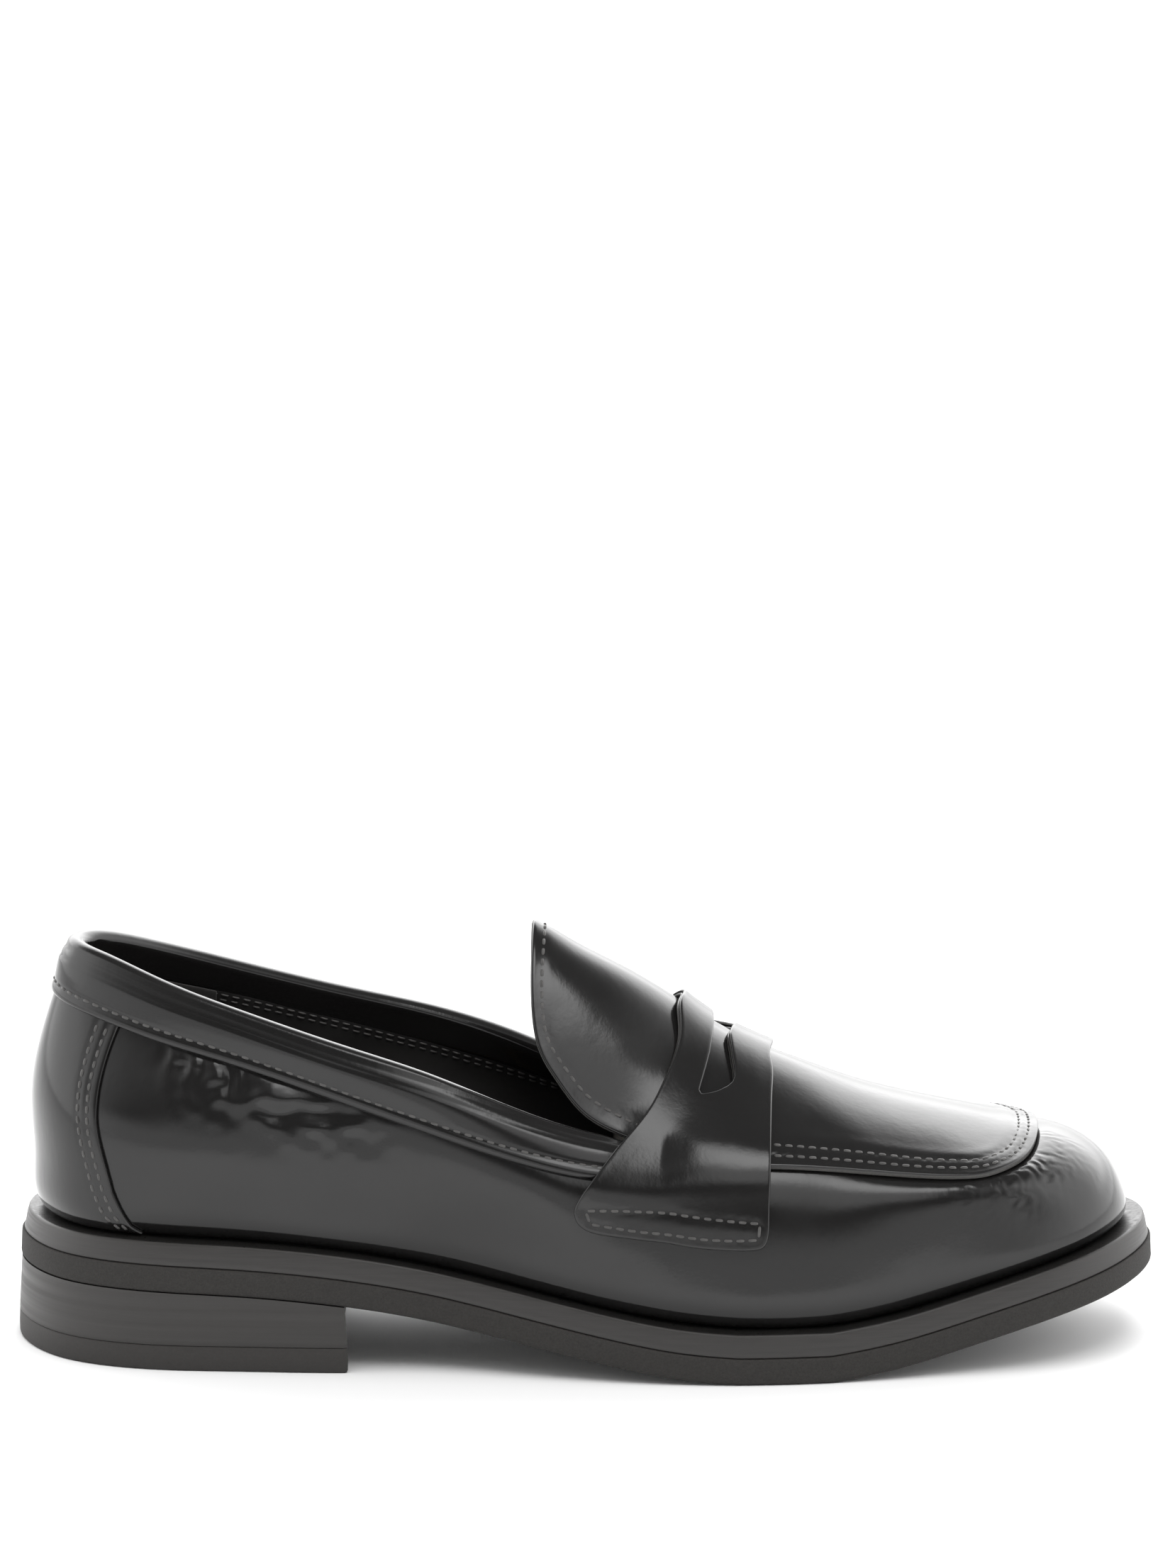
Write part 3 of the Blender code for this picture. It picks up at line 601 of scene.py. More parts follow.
# ---- materials -------------------------------------------------------------
class Finish:
    """Builds one procedural material from the object's own coordinates, in metres."""

    def __init__(self, name, roughness, specular=0.5, metallic=0.0):
        self.material = bpy.data.materials.new(name)
        self.material.use_nodes = True
        self.tree = self.material.node_tree
        self.shader = self.tree.nodes["Principled BSDF"]
        self.shader.inputs["Roughness"].default_value = roughness
        self.shader.inputs["Specular IOR Level"].default_value = specular
        self.shader.inputs["Metallic"].default_value = metallic
        self.place = self.tree.nodes.new("ShaderNodeTexCoord").outputs["Object"]
        self.normal = None

    def node(self, kind, inputs=(), **settings):
        made = self.tree.nodes.new(kind)
        for key, value in settings.items():
            setattr(made, key, value)
        for key, value in inputs:
            if isinstance(value, bpy.types.NodeSocket):
                self.tree.links.new(value, made.inputs[key])
            else:
                made.inputs[key].default_value = value
        return made

    def stretched(self, scale):
        return self.node("ShaderNodeMapping", [("Vector", self.place), ("Scale", scale)]).outputs[0]

    def noise(self, scale, detail=3.0, rough=0.5, place=None):
        inputs = [("Vector", place or self.place), ("Scale", scale), ("Detail", detail),
                  ("Roughness", rough)]
        return self.node("ShaderNodeTexNoise", inputs).outputs["Fac"]

    def pores(self, scale):
        inputs = [("Vector", self.place), ("Scale", scale)]
        made = self.node("ShaderNodeTexVoronoi", inputs, feature="SMOOTH_F1")
        return made.outputs["Distance"]

    def spread(self, value, low, high):
        """The middle of a noise value's range stretched from low to high."""
        inputs = [("Value", value), ("From Min", 0.3), ("From Max", 0.7), ("To Min", low),
                  ("To Max", high)]
        return self.node("ShaderNodeMapRange", inputs).outputs["Result"]

    def blend(self, amount, first, second):
        mix = self.node("ShaderNodeMix", data_type="RGBA")
        self.tree.links.new(amount, mix.inputs[0])
        mix.inputs[6].default_value = (*first, 1)
        mix.inputs[7].default_value = (*second, 1)
        return mix.outputs[2]

    def set(self, key, value):
        if isinstance(value, bpy.types.NodeSocket):
            self.tree.links.new(value, self.shader.inputs[key])
        else:
            self.shader.inputs[key].default_value = value

    def bump(self, height, depth, strength=1.0):
        inputs = [("Height", height), ("Distance", depth * MM), ("Strength", strength)]
        if self.normal:
            inputs.append(("Normal", self.normal))
        self.normal = self.node("ShaderNodeBump", inputs).outputs["Normal"]
        self.tree.links.new(self.normal, self.shader.inputs["Normal"])

    def grain(self, noise, dark, light, depth, strength=1.0):
        """One noise that gives both the colour and the relief."""
        self.set("Base Color", self.blend(noise, dark, light))
        self.bump(noise, depth, strength)


def upper_leather():
    """Polished black calf: soft grain, pores, uneven polish."""
    made = Finish("upper_leather", 0.2, 0.4)
    made.set("Base Color", made.blend(made.noise(45), (0.006, 0.0058, 0.0058),
                                      (0.011, 0.0105, 0.0102)))
    made.set("Roughness", made.spread(made.noise(70, 5, 0.6), 0.11, 0.2))
    made.set("Coat Weight", 0.2)
    made.set("Coat Roughness", 0.08)
    made.bump(made.noise(1.0, 3, 0.55, made.stretched((420, 420, 150))), 0.05, 0.7)
    made.bump(made.noise(260), 0.035, 0.6)
    made.bump(made.pores(1500), 0.012, 0.5)
    made.bump(made.noise(3800, 2), 0.006, 0.5)
    return made.material


def lining_leather():
    made = Finish("lining_leather", 0.5, 0.35)
    made.set("Base Color", made.blend(made.noise(60, 4), (0.015, 0.0142, 0.014),
                                      (0.024, 0.0226, 0.022)))
    made.set("Roughness", made.spread(made.noise(120, 4), 0.42, 0.6))
    made.bump(made.pores(1100), 0.03, 0.7)
    made.bump(made.noise(420), 0.05, 0.5)
    return made.material


def heel_suede():
    made = Finish("heel_suede", 0.95, 0.15)
    made.grain(made.noise(2100, 5, 0.75), (0.012, 0.0115, 0.011), (0.034, 0.032, 0.031), 0.12)
    made.set("Sheen Weight", 0.25)
    made.set("Sheen Roughness", 0.5)
    return made.material


def welt_edge():
    """Dressed sole edge: satin black with fine level scores."""
    made = Finish("welt_edge", 0.4, 0.45)
    scores = made.noise(1.0, 4, 0.6, made.stretched((60, 60, 2600)))
    made.grain(scores, (0.019, 0.0178, 0.017), (0.038, 0.0356, 0.034), 0.03, 0.5)
    made.set("Roughness", made.spread(scores, 0.32, 0.5))
    made.bump(made.noise(900), 0.02, 0.4)
    return made.material


def welt_top_painted_shade():
    """Upper face of the welt: waxed, and painted darker than the welt's edge as the shade that falls in the
    crease under the upper.
    """
    made = Finish("welt_top", 0.34, 0.45)
    # the dark colours are painted shade of the crease between the upper and the welt
    wax = made.noise(800, 4, 0.6)
    made.grain(wax, (0.006, 0.0058, 0.0056), (0.016, 0.0152, 0.0146), 0.04, 0.6)
    made.set("Roughness", made.spread(wax, 0.26, 0.45))
    return made.material


def heel_stack():
    """Heel block with the fine level lines of a lacquered stack."""
    made = Finish("heel_stack", 0.42, 0.45)
    lines = made.noise(1.0, 5, 0.65, made.stretched((22, 22, 1500)))
    long_marks = made.noise(1.0, 3, 0.6, made.stretched((9, 9, 520)))
    made.grain(lines, (0.024, 0.0224, 0.0212), (0.034, 0.0316, 0.0298), 0.025, 0.5)
    made.set("Roughness", made.spread(long_marks, 0.33, 0.55))
    made.bump(long_marks, 0.03, 0.3)
    return made.material


def thread():
    """Waxed black thread: twisted plies show as fine bands."""
    made = Finish("waxed_thread", 0.42, 0.5)
    made.set("Base Color", made.blend(made.noise(900, 2), (0.03, 0.029, 0.028),
                                      (0.085, 0.082, 0.079)))
    made.bump(made.noise(3600, 2), 0.05, 0.8)
    return made.material


# Simple finishes: roughness, specular, noise, dark colour, light colour, relief.
GRAINED = {
    "leather_cut_edge": (0.7, 0.3, (2600, 4, 0.7), (0.035, 0.034, 0.033),
                         (0.12, 0.117, 0.112), 0.08),
    "leather_flesh_side": (0.85, 0.25, (1500, 5, 0.7), (0.012, 0.011, 0.011),
                           (0.03, 0.028, 0.027), 0.08),
    "outsole_rubber": (0.8, 0.3, (1900, 4, 0.75), (0.012, 0.0112, 0.0106),
                       (0.046, 0.0435, 0.041), 0.16, 0.9),
    "top_piece_rubber": (0.65, 0.35, (1400, 4, 0.7), (0.024, 0.0224, 0.0212),
                         (0.037, 0.0344, 0.0326), 0.06, 0.8),
}


def grained(name):
    roughness, specular, noise_values, *rest = GRAINED[name]
    made = Finish(name, roughness, specular)
    made.grain(made.noise(*noise_values), *rest)
    return made.material


def plain_finish(name, dark, light, scale, roughness, metallic):
    """Grained material for the pieces that the upper and the sole hide."""
    made = Finish(name, roughness, 0.4, metallic)
    made.grain(made.noise(scale, 5, 0.65), dark, light, 0.05)
    return made.material


# ---- sole ------------------------------------------------------------------
def sole_loop(loop, count=420):
    return loop_points(loop, np.linspace(0, STATIONS, count, endpoint=False))


def strip_cap(rows, count, flip):
    """Faces across a loop whose two sides share their X."""
    start = rows * count
    faces = []
    for k in range(count // 2):
        ring = [k, k + 1, (count - k - 1) % count, (count - k) % count]
        ring = list(dict.fromkeys(start + i for i in ring))
        if len(ring) > 2:
            faces.append(tuple(ring[::-1] if flip else ring))
    return faces


TOP_RINGS = 3                  # rings of a layer that belong to its upper face


def banded(name, loop, rows, materials, nodes, cap="strips"):
    """Solid swept round a loop: rows of (inset, height of x) from the top to the bottom."""
    count = len(loop)
    rings = []
    for distance, height in rows:
        ring = inset(loop, distance)
        ring[:, 2] = height(ring[:, 0])
        rings.append(ring)
    vertices = np.concatenate(rings)
    faces = grid_faces(len(rings), count, wrap=True)
    last = len(rings) - 1
    if cap == "strips":
        faces += strip_cap(0, count, False) + strip_cap(last, count, True)
    else:
        faces.append(tuple(range(count)))
        faces.append(tuple(last * count + i for i in reversed(range(count))))
    slots = None
    if len(materials) > 1:
        slots = [1 if k < TOP_RINGS * count else 0 for k in range(len(faces))]
    piece = make_piece(name, vertices, faces, materials, slots, nodes)
    face_outwards(piece)
    return piece


def rounded_rows(top, bottom, radius_top, radius_bottom, slant, inner):
    """Section of a sole layer: flat inside, rounded at its upper and lower edge.

    slant leans the side outwards towards the bottom.
    """
    rows = [(inner, top), (radius_top * 2, top)]
    for angle in np.linspace(0, 90, 5):
        turn = math.radians(angle)
        out = radius_top * (1 - math.sin(turn))
        drop = radius_top * (1 - math.cos(turn))
        rows.append((out, lambda x, drop=drop: top(x) - drop))
    for share in (0.3, 0.5, 0.7):
        rows.append((-slant * share, lambda x, s=share: top(x) * (1 - s) + bottom(x) * s))
    for angle in np.linspace(0, 90, 5):
        turn = math.radians(angle)
        out = radius_bottom * (1 - math.cos(turn)) - slant
        rise = radius_bottom * (1 - math.sin(turn))
        rows.append((out, lambda x, rise=rise: bottom(x) + rise))
    rows.append((inner, bottom))
    return rows


def build_sole(looks):
    welt_loop = sole_loop(WELT_LOOP)

    def split(x):
        return sole_bottom(x) + OUTSOLE_THICK

    rows = rounded_rows(welt_top, split, 0.7, 0.5, slant=1.0, inner=8.0)
    banded("welt_band", welt_loop, rows, [looks["welt"], looks["welt_top"]],
           ("welt_midsole",))
    out_loop = inset(welt_loop, -OUTSOLE_PROUD)
    rows = rounded_rows(split, sole_bottom, 0.45, 1.1, slant=0.2, inner=6.0)
    banded("outsole_layer", out_loop, rows, [looks["outsole"]], ("outsole",))
    build_heel(looks, out_loop)


def heel_outline(loop, breast):
    """The rear of the sole's outline, closed by a straight breast."""
    rear = loop[loop[:, 0] < breast]
    far = rear[rear[:, 1] > 0]
    near = rear[rear[:, 1] <= 0]
    far = far[np.argsort(far[:, 0])[::-1]]
    near = near[np.argsort(near[:, 0])]
    arc = np.concatenate([far, near])
    ends = [np.array([breast, arc[0, 1], 0]), np.array([breast, arc[-1, 1], 0])]
    across = np.linspace(ends[1], ends[0], 60)
    t = np.linspace(-1, 1, 60)
    across[:, 0] -= 1.6 * (1 - t ** 2)
    outline = np.concatenate([arc, across])
    lengths = chord_lengths(np.concatenate([outline, outline[:1]]))
    return outline[np.diff(lengths) > 0.05]


def build_heel(looks, loop):
    breast = HEEL_BREAST_X - SHIFT[0]
    lift = TOP_PIECE_BOX[1][2]
    outline = heel_outline(loop, breast)

    def level(height):
        return lambda x: np.full_like(x, height)

    def joint(x):
        return sole_bottom(x) - 0.05

    rows = [(0.0, joint)]
    for share in np.linspace(0.1, 0.9, 7):
        rows.append((-HEEL_FLARE * share,
                     lambda x, s=share: joint(x) * (1 - s) + (lift + 0.12) * s))
    rows += [(0.03 - HEEL_FLARE, level(lift + 0.3)), (0.22 - HEEL_FLARE, level(lift + 0.06))]
    banded("heel_stack", outline, rows, [looks["stack"]], ("heel_block",), "fill")
    sides = ((0.25, lift - 0.02), (0.05, lift - 0.25), (-0.05, lift * 0.5), (0.0, 0.8), (0.2, 0.2),
             (0.7, 0.0))
    rows = [(distance - HEEL_FLARE, level(z)) for distance, z in sides]
    banded("heel_lift", outline, rows, [looks["lift"]], ("heel_top_piece",),
           "fill")


# ---- upper -----------------------------------------------------------------
COUNTER_LINES = (-0.5, 0, 1, 2, 3, 3.2)
COUNTER_STATIONS = (3.4, 3.12, 2.66, 2.36, 2.52, 2.6)
COUNTER_ROWS = (2.5, 5.2)      # stitch rows: distance from the panel's front edge
COUNTER_THICK = 1.05


def build_vamp(looks):
    u = np.concatenate([[0.02], np.linspace(0.07, STATIONS - 0.07, 640), [STATIONS - 0.02]])
    v = np.unique(np.concatenate([[-1, -0.7, -0.4, -0.2], fine_lines(0, 3.9, 74, 0.03)]))
    base, normal = wall(u, v)
    heights = chord_lengths(base)
    seam = v.searchsorted(3.0)
    below = heights[:, seam:seam + 1] - heights
    along = chord_lengths(np.swapaxes(base, 0, 1))[seam][:, None]
    edge_x = base[:, seam, :1]
    relief = 0.15 * noise(base, 42, 3, 1) + 0.03 * noise(base, 15, 4, 1)
    relief += side_folds(base, below, edge_x, u[:, None])
    relief += apron_gathers(base, below, along, u[:, None])
    relief *= smooth_step(v, 0, 0.4)[None, :]
    grid_sheet("vamp_leather", base, normal, -LEATHER, relief, looks["sheet"], ("vamp",),
               "upper_leather")


def swell(below, reach):
    """A soft bulge that starts at the seam and is fullest at the reach below it."""
    depth = np.maximum(below, 0) / reach
    return depth * np.exp(1 - depth)


def side_folds(base, below, edge_x, u):
    """The sides puff out below the collar and crease beside the counter."""
    zone = between(edge_x, -114, -96, -10, 6) * (1 - between(u, 9, 10, 20, 21))
    rear = between(edge_x, -108, -90, -66, -40)
    made = zone * (0.4 + 0.6 * rear) * swell(below, 8.5)
    lumps = noise(base * [1.2, 1, 1.5], 15, 8, 2) * np.exp(-(below / 15) ** 2)
    made += zone * rear * 0.95 * lumps * swell(below, 6)
    crease = np.sin(edge_x * 2 * math.pi / 5.6 + 2.5 * noise(base, 11, 9, 1))
    front = between(edge_x, -104, -97, -84, -74)
    return made + zone * front * 0.3 * crease * swell(below, 3.2)


def apron_gathers(base, below, along, u):
    """The vamp rolls in under the apron with fine, uneven gathers."""
    zone = between(u, 9.6, 10.4, 19.6, 20.4)
    uneven = 1.3 * noise(base, 5, 14, 2)
    ripple = np.sin(along * 2 * math.pi / 3.1 + 3 * uneven) * (0.6 + 0.5 * noise(base, 9, 15, 1))
    fine = between(u, 10.4, 11.4, 14, 15.5)
    return zone * 0.9 * swell(below, 5.5) + fine * 0.1 * ripple * swell(below, 3.4)


def counter_edge(v):
    """Station of the panel's front edge at design lines v."""
    return simple_spline(list(zip(COUNTER_LINES, COUNTER_STATIONS)), v)


def build_counter(looks):
    v = fine_lines(0.04, 3.08, 46, 0.03)
    t = fine_lines(-1, 1, 90, 0.008)
    base, normal = wall(counter_edge(v)[None, :] * t[:, None], v[None, :])
    across = chord_lengths(np.swapaxes(base, 0, 1))
    from_edge = np.minimum(across, across[:, -1:] - across).T
    relief = COUNTER_THICK + 0.1 * noise(base, 30, 5, 1)
    for row in COUNTER_ROWS:
        relief -= 0.16 * hump(from_edge, row, 0.5)
    grid_sheet("counter_panel", base, normal, 0.02, relief, looks["sheet"], ("back_counter",),
               "upper_leather")
    line_v = np.linspace(0.12, 2.96, 80)
    line_edge = counter_edge(line_v)
    for row in COUNTER_ROWS:
        for side in (-1, 1):
            u_line = side * (line_edge - row / station_width(line_edge, line_v))
            stitch_row(*wall_line(u_line, line_v), COUNTER_THICK - 0.13)


def station_width(u, v):
    """Millimetres per station at paired stations and lines."""
    d = 0.1
    return np.linalg.norm(wall_line(u + d, v)[0] - wall_line(u - d, v)[0], axis=1) / (2 * d)


def wall_line(u, v):
    """Wall points and outward normals at paired stations and lines."""
    points, normals = wall(u[:, None], v[:, None])
    return points[:, 0], normals[:, 0]


def line_height(u, v):
    """Millimetres per design line at stations u."""
    d = 0.05
    up = wall_base(u, np.array([v + d]))[:, 0]
    down = wall_base(u, np.array([v - d]))[:, 0]
    return np.linalg.norm(up - down, axis=1) / (2 * d)


COLLAR_END = 8.25              # station where the band ends, under the strap
COLLAR_OUTSIDE = 1.62          # how far the band's faces stand from the wall
COLLAR_INSIDE = -3.15
COLLAR_LEAN = 0.8              # how much further out its upper part stands
COLLAR_BACK = 0.35             # extra thickness over the heel panel
COLLAR_ROW = 2.9               # height of its stitches above the seam
FACING_END = 3.46              # design line where the facing ends inside


def collar_thickness(u, v, base, height, under_strap):
    """Distance of the band's outer face from the wall over a grid."""
    heel = 1 - smooth_step(np.abs(u), 2.5, 5.0)
    thick = COLLAR_OUTSIDE + COLLAR_BACK * heel[:, None] * (1 - smooth_step(v, 3.1, 3.7))[None, :]
    thick = thick - edge_drop(height, 0.9) + COLLAR_LEAN * smooth_step(v, 3.1, 3.75)[None, :]
    thick += 0.14 * hump(height, 1.5, 0.8)
    thick -= 0.2 * hump(height, COLLAR_ROW, 0.5)
    thick += 0.12 * hump(height, 6.5, 2.5)
    thick -= 0.14 * hump(height[:, -1:] - height, 2.4, 0.5)
    thick -= 0.75 * np.clip((v - 3.7) / 0.3, 0, 1)[None, :] ** 2
    thick += 0.05 * noise(base, 17, 6, 1)
    return thick - 0.9 * under_strap[:, None]


def build_collar(looks):
    """Folded band along the topline, with one row of stitches above its lower edge."""
    u = np.linspace(-COLLAR_END, COLLAR_END, 330)
    under_strap = smooth_step(np.abs(u), 7.75, 8.2)
    v_side = np.unique(np.concatenate([[3.0, 3.01, 3.025, 3.045], np.linspace(3.07, 4.0, 22)]))
    base, normal = wall(u, v_side)
    thick = collar_thickness(u, v_side, base, chord_lengths(base), under_strap)
    rows = [base[:, k] + normal[:, k] * thick[:, k:k + 1] for k in range(len(v_side))]
    top, top_normal = wall(u, [4.06])
    top, top_normal = top[:, 0], top_normal[:, 0]
    upwards = unit(wall_base(u, [4.08])[:, 0] - wall_base(u, [4.0])[:, 0])
    shoulder = COLLAR_OUTSIDE + COLLAR_LEAN - 0.75
    middle = (shoulder + COLLAR_INSIDE) / 2
    half = ((shoulder - COLLAR_INSIDE) / 2 - 1.4 * under_strap)[:, None]
    rim = (1.9 - 1.3 * under_strap)[:, None]
    for turn in np.radians(np.linspace(10, 168, 12)):
        rows.append(top + top_normal * (middle + half * math.cos(turn))
                    + upwards * rim * math.sin(turn))
    v_in = np.linspace(4.0, FACING_END, 8)
    inner, inner_normal = wall(u, v_in)
    depths = [COLLAR_INSIDE] * (len(v_in) - 1) + [COLLAR_INSIDE + 0.35]
    rows += [inner[:, k] + inner_normal[:, k] * depth for k, depth in enumerate(depths)]
    low_in, low_normal = wall(u, [FACING_END, 3.0])
    rows += [low_in[:, k] + low_normal[:, k] * depth for k, depth in enumerate((-2.2, 0.1))]
    count = len(u)
    faces = grid_faces(len(rows), count, flip=True)
    last = (len(rows) - 1) * count
    faces += [(last + j, j, j + 1, last + j + 1)[::-1] for j in range(count - 1)]
    faces.append(tuple(k * count for k in range(len(rows))))
    faces.append(tuple(k * count + count - 1 for k in reversed(range(len(rows)))))
    piece = make_piece("collar_band", np.concatenate(rows), faces, looks["sheet"], None,
                       ("collar",))
    face_outwards(piece)
    line_u = np.linspace(-7.9, 7.9, 400)
    heel = 1 - smooth_step(np.abs(line_u), 2.5, 5.0)
    lift = COLLAR_OUTSIDE - 0.14 + COLLAR_BACK * heel
    line_v = 3 + COLLAR_ROW / line_height(line_u, 3.1)
    stitch_row(*wall_line(line_u, line_v), lift[:, None])


def half_outline(side):
    """Closed outline from a half outline that starts and ends on the centre line."""
    side = np.array(side, float)
    centre = sway(side[:, 0], 4)
    near = np.stack([side[:, 0], centre - side[:, 1]], 1)
    far = np.stack([side[1:-1, 0], centre[1:-1] + side[1:-1, 1]], 1)[::-1]
    return np.concatenate([near, far])


def place_on_crown(plan):
    return crown(plan[:, 0], plan[:, 1])


APRON_ROWS = (2.3, 4.7)        # stitch rows: distance from the apron's edge
TONGUE_ROW = 2.5               # the same on the tongue
APRON_LOW, APRON_HIGH = 0.35, 1.9


def apron_relief(outline):
    def relief(plan, base):
        distance, along = outline_distance(plan, outline)
        front = smooth_step(plan[:, 0], 30, 40)
        made = 0.12 * noise(base, 40, 11, 1) + 0.03 * noise(base, 12, 12, 1)
        for row in APRON_ROWS:
            made -= front * 0.2 * hump(distance, row, 0.5)
        pucker = 1 + 0.45 * np.cos(2 * math.pi * along / STITCH)
        made += front * 0.26 * pucker * hump(distance, 3.5, 0.75)
        made += front * 0.15 * hump(distance, 6.8, 1.6)
        made -= (1 - front) * 0.14 * hump(distance, TONGUE_ROW, 0.5)
        return made
    return relief


def outline_rows(outline, distance, keep):
    """Stretches of the line at a distance inside an outline for which keep holds."""
    line = inset(outline, distance)
    good = keep(line)
    runs = []
    count = len(line)
    start = next((k for k in range(count) if good[k] and not good[k - 1]), 0)
    run = []
    for k in range(start, start + count):
        if good[k % count]:
            run.append(k % count)
        elif run:
            runs.append(run)
            run = []
    if run:
        runs.append(run)
    return [line[run] for run in runs if len(run) > 5]


def build_apron(looks):
    outline = closed_curve(half_outline(APRON_SIDE), 0.8)
    cut_sheet("apron_leather", outline, [], 1.15, place_on_crown, APRON_LOW, APRON_HIGH,
              looks["apron_sheet"], ("apron",), apron_relief(outline))
    for distance in APRON_ROWS:
        for line in outline_rows(outline, distance, lambda p: p[:, 0] > 40):
            stitch_row(*place_on_crown(line), APRON_HIGH - 0.16)
    for line in outline_rows(outline, TONGUE_ROW, lambda p: p[:, 0] < 14):
        stitch_row(*place_on_crown(line), APRON_HIGH - 0.12)
    lining = closed_curve(half_outline(LINING_SIDE), 0.9)
    cut_sheet("tongue_lining", lining, [], 1.8, place_on_crown, -0.8, 0.3, looks["lining_sheet"],
              ("apron_lining",))


class Girth:
    """The surface under the strap, by the X of the section and the length from the ridge.

    A girth line is a design line up to 3 (the seam), then climbs to 6 (the ridge) and
    down the medial side to 12.
    """

    def __init__(self):
        self.xs = np.arange(-12.0, 54.5, 1.0)
        lines = np.array([0.7, 1.1, 1.5, 2.0, 2.4, 2.75, 3.3, 3.7, 4.2, 4.7, 5.2, 5.6, 6.0])
        self.lines = np.concatenate([lines, 12 - lines[-2::-1]])
        dense = np.linspace(5.5, 11, 221)
        stations = np.interp(self.xs, loop_points(LINES[5], dense)[:, 0], dense)
        sections = self.bridged(np.stack([self.along(g, stations) for g in self.lines], 1))
        knots = chord_lengths(sections)
        ridge = knots[:, len(lines) - 1]
        self.reach = 96.0
        self.step = 0.5
        s = np.arange(-self.reach, self.reach + self.step, self.step)
        at = np.clip(ridge[:, None] + s[None, :], knots[:, :1], knots[:, -1:])
        self.table = natural_spline(knots, sections, at)

    def bridged(self, sections):
        """The stiff strap spans the hollow where the tongue meets the collar."""
        made = sections.copy()
        from_foot = np.minimum(self.lines, 12 - self.lines)
        gap = (from_foot > 2.45) & (from_foot < 4.6)
        knots = chord_lengths(sections)
        for k in range(len(sections)):
            span = natural_spline(knots[k, ~gap], sections[k, ~gap], knots[k, gap])
            rise = span - sections[k, gap]
            outward = np.sign(rise[:, 1]) == np.sign(sections[k, gap, 1])
            made[k, gap] += rise * (0.9 * outward)[:, None]
        return made

    def along(self, line, stations):
        """Points of one girth line for every section."""
        g = min(line, 12 - line)
        u = STATIONS - stations if line > 6 else stations
        if g <= 3:
            base, normal = wall(u, [g])
            base, normal = base[:, 0], normal[:, 0]
        else:
            edge = wall_base(u, [3.0])[:, 0, 1]
            base, normal = crown(self.xs, edge + (sway(self.xs, 6) - edge) * (g - 3) / 3)
        lift = np.interp(g, (2.35, 3.25), (0.35, 2.0)) + np.zeros(len(self.xs))
        lift += 0.8 * hump(self.xs, 19, 5) * smooth_step(g, 4.6, 6)
        return base + normal * lift[:, None]

    def at(self, plane):
        """Points at (X, length) pairs by smooth interpolation of the table."""
        i = np.clip((plane[:, 0] - self.xs[0]), 1, len(self.xs) - 2.001)
        j = np.clip((plane[:, 1] + self.reach) / self.step, 1, self.table.shape[1] - 2.001)
        i0, j0 = np.floor(i).astype(int), np.floor(j).astype(int)
        wi, wj = cubic_weights(i - i0), cubic_weights(j - j0)
        total = np.zeros((len(plane), 3))
        for a in range(4):
            for b in range(4):
                row = np.clip(i0 + a - 1, 0, self.table.shape[0] - 1)
                column = np.clip(j0 + b - 1, 0, self.table.shape[1] - 1)
                total += self.table[row, column] * (wi[:, a] * wj[:, b])[:, None]
        return total

    def place(self, plane):
        d = 0.3
        across = self.at(plane + [0, d]) - self.at(plane - [0, d])
        ahead = self.at(plane + [d, 0]) - self.at(plane - [d, 0])
        return self.at(plane), unit(np.cross(ahead, across))


def cubic_weights(t):
    return np.stack([(-t ** 3 + 2 * t ** 2 - t) / 2, (3 * t ** 3 - 5 * t ** 2 + 2) / 2,
                     (-3 * t ** 3 + 4 * t ** 2 + t) / 2, (t ** 3 - t ** 2) / 2], 1)


# Flat pattern of the strap: X and length from the ridge, lateral half.
STRAP_HALF = ((19.8, -6), (20.5, -13), (19.8, -21), (17.2, -30.5), (14.5, -38.2), (10.9, -45.2),
              (6.9, -52), (2, -60.7), (-1.4, -66.6), (-2.6, -69.4), (-2.9, -71.5), (-2.1, -73.4),
              (0.2, -74.2), (4, -73.7), (12, -71.4), (23.7, -67.9), (33, -65.2), (39.2, -63.4),
              (41.6, -62.1), (42.8, -59.4), (43, -55), (43, -44), (43, -32), (43, -20),
              (42.9, -12), (42.2, -6))
STRAP_MIDDLE = -6.0
# Half of the coin slot: X and distance from its middle.
SLOT_HALF = ((28.2, 0), (28.1, 5), (27.8, 10), (27.1, 15), (26.5, 18.6), (25.9, 22),
             (26.3, 22.7), (28.2, 21.6), (30.2, 20), (32.2, 17.8), (33.4, 15.8), (33.9, 13.4), (33.6, 10.5),
             (33, 7), (32.5, 3.5), (32.1, 0))
UPPER_ROW = ((-0.2, -69.6), (12, -64.8), (26.4, -60), (40.7, -56.8))
LOWER_ROW = ((0.9, -72.3), (9.5, -70.2), (23.7, -65.7), (34, -62.6), (40.4, -60.6))


def medial_length(s):
    """The medial twin of a lateral length.

    It is mirrored about the strap's middle above and about the ridge below.
    """
    return -s + 2 * STRAP_MIDDLE * (1 - smooth_step(-s, 28, 60))


def strap_outline():
    near = np.array(STRAP_HALF, float)
    far = near[1:-1][::-1].copy()
    far[:, 1] = medial_length(far[:, 1])
    return np.concatenate([near, far])


def strap_rows():
    """Closed narrow loop of stitches at each foot of the strap, as lines in its plane."""
    rows = []
    ends = [(UPPER_ROW[k], LOWER_ROW[k]) for k in (0, -1)]
    for line in (UPPER_ROW, LOWER_ROW, *ends):
        count = 240 if len(line) > 2 else 30
        x = np.linspace(line[0][0], line[-1][0], count)
        if len(line) > 2:
            length = simple_spline(line, x)
        else:
            length = np.linspace(line[0][1], line[1][1], count)
        rows += [np.stack([x, length], 1), np.stack([x, medial_length(length)], 1)]
    return rows


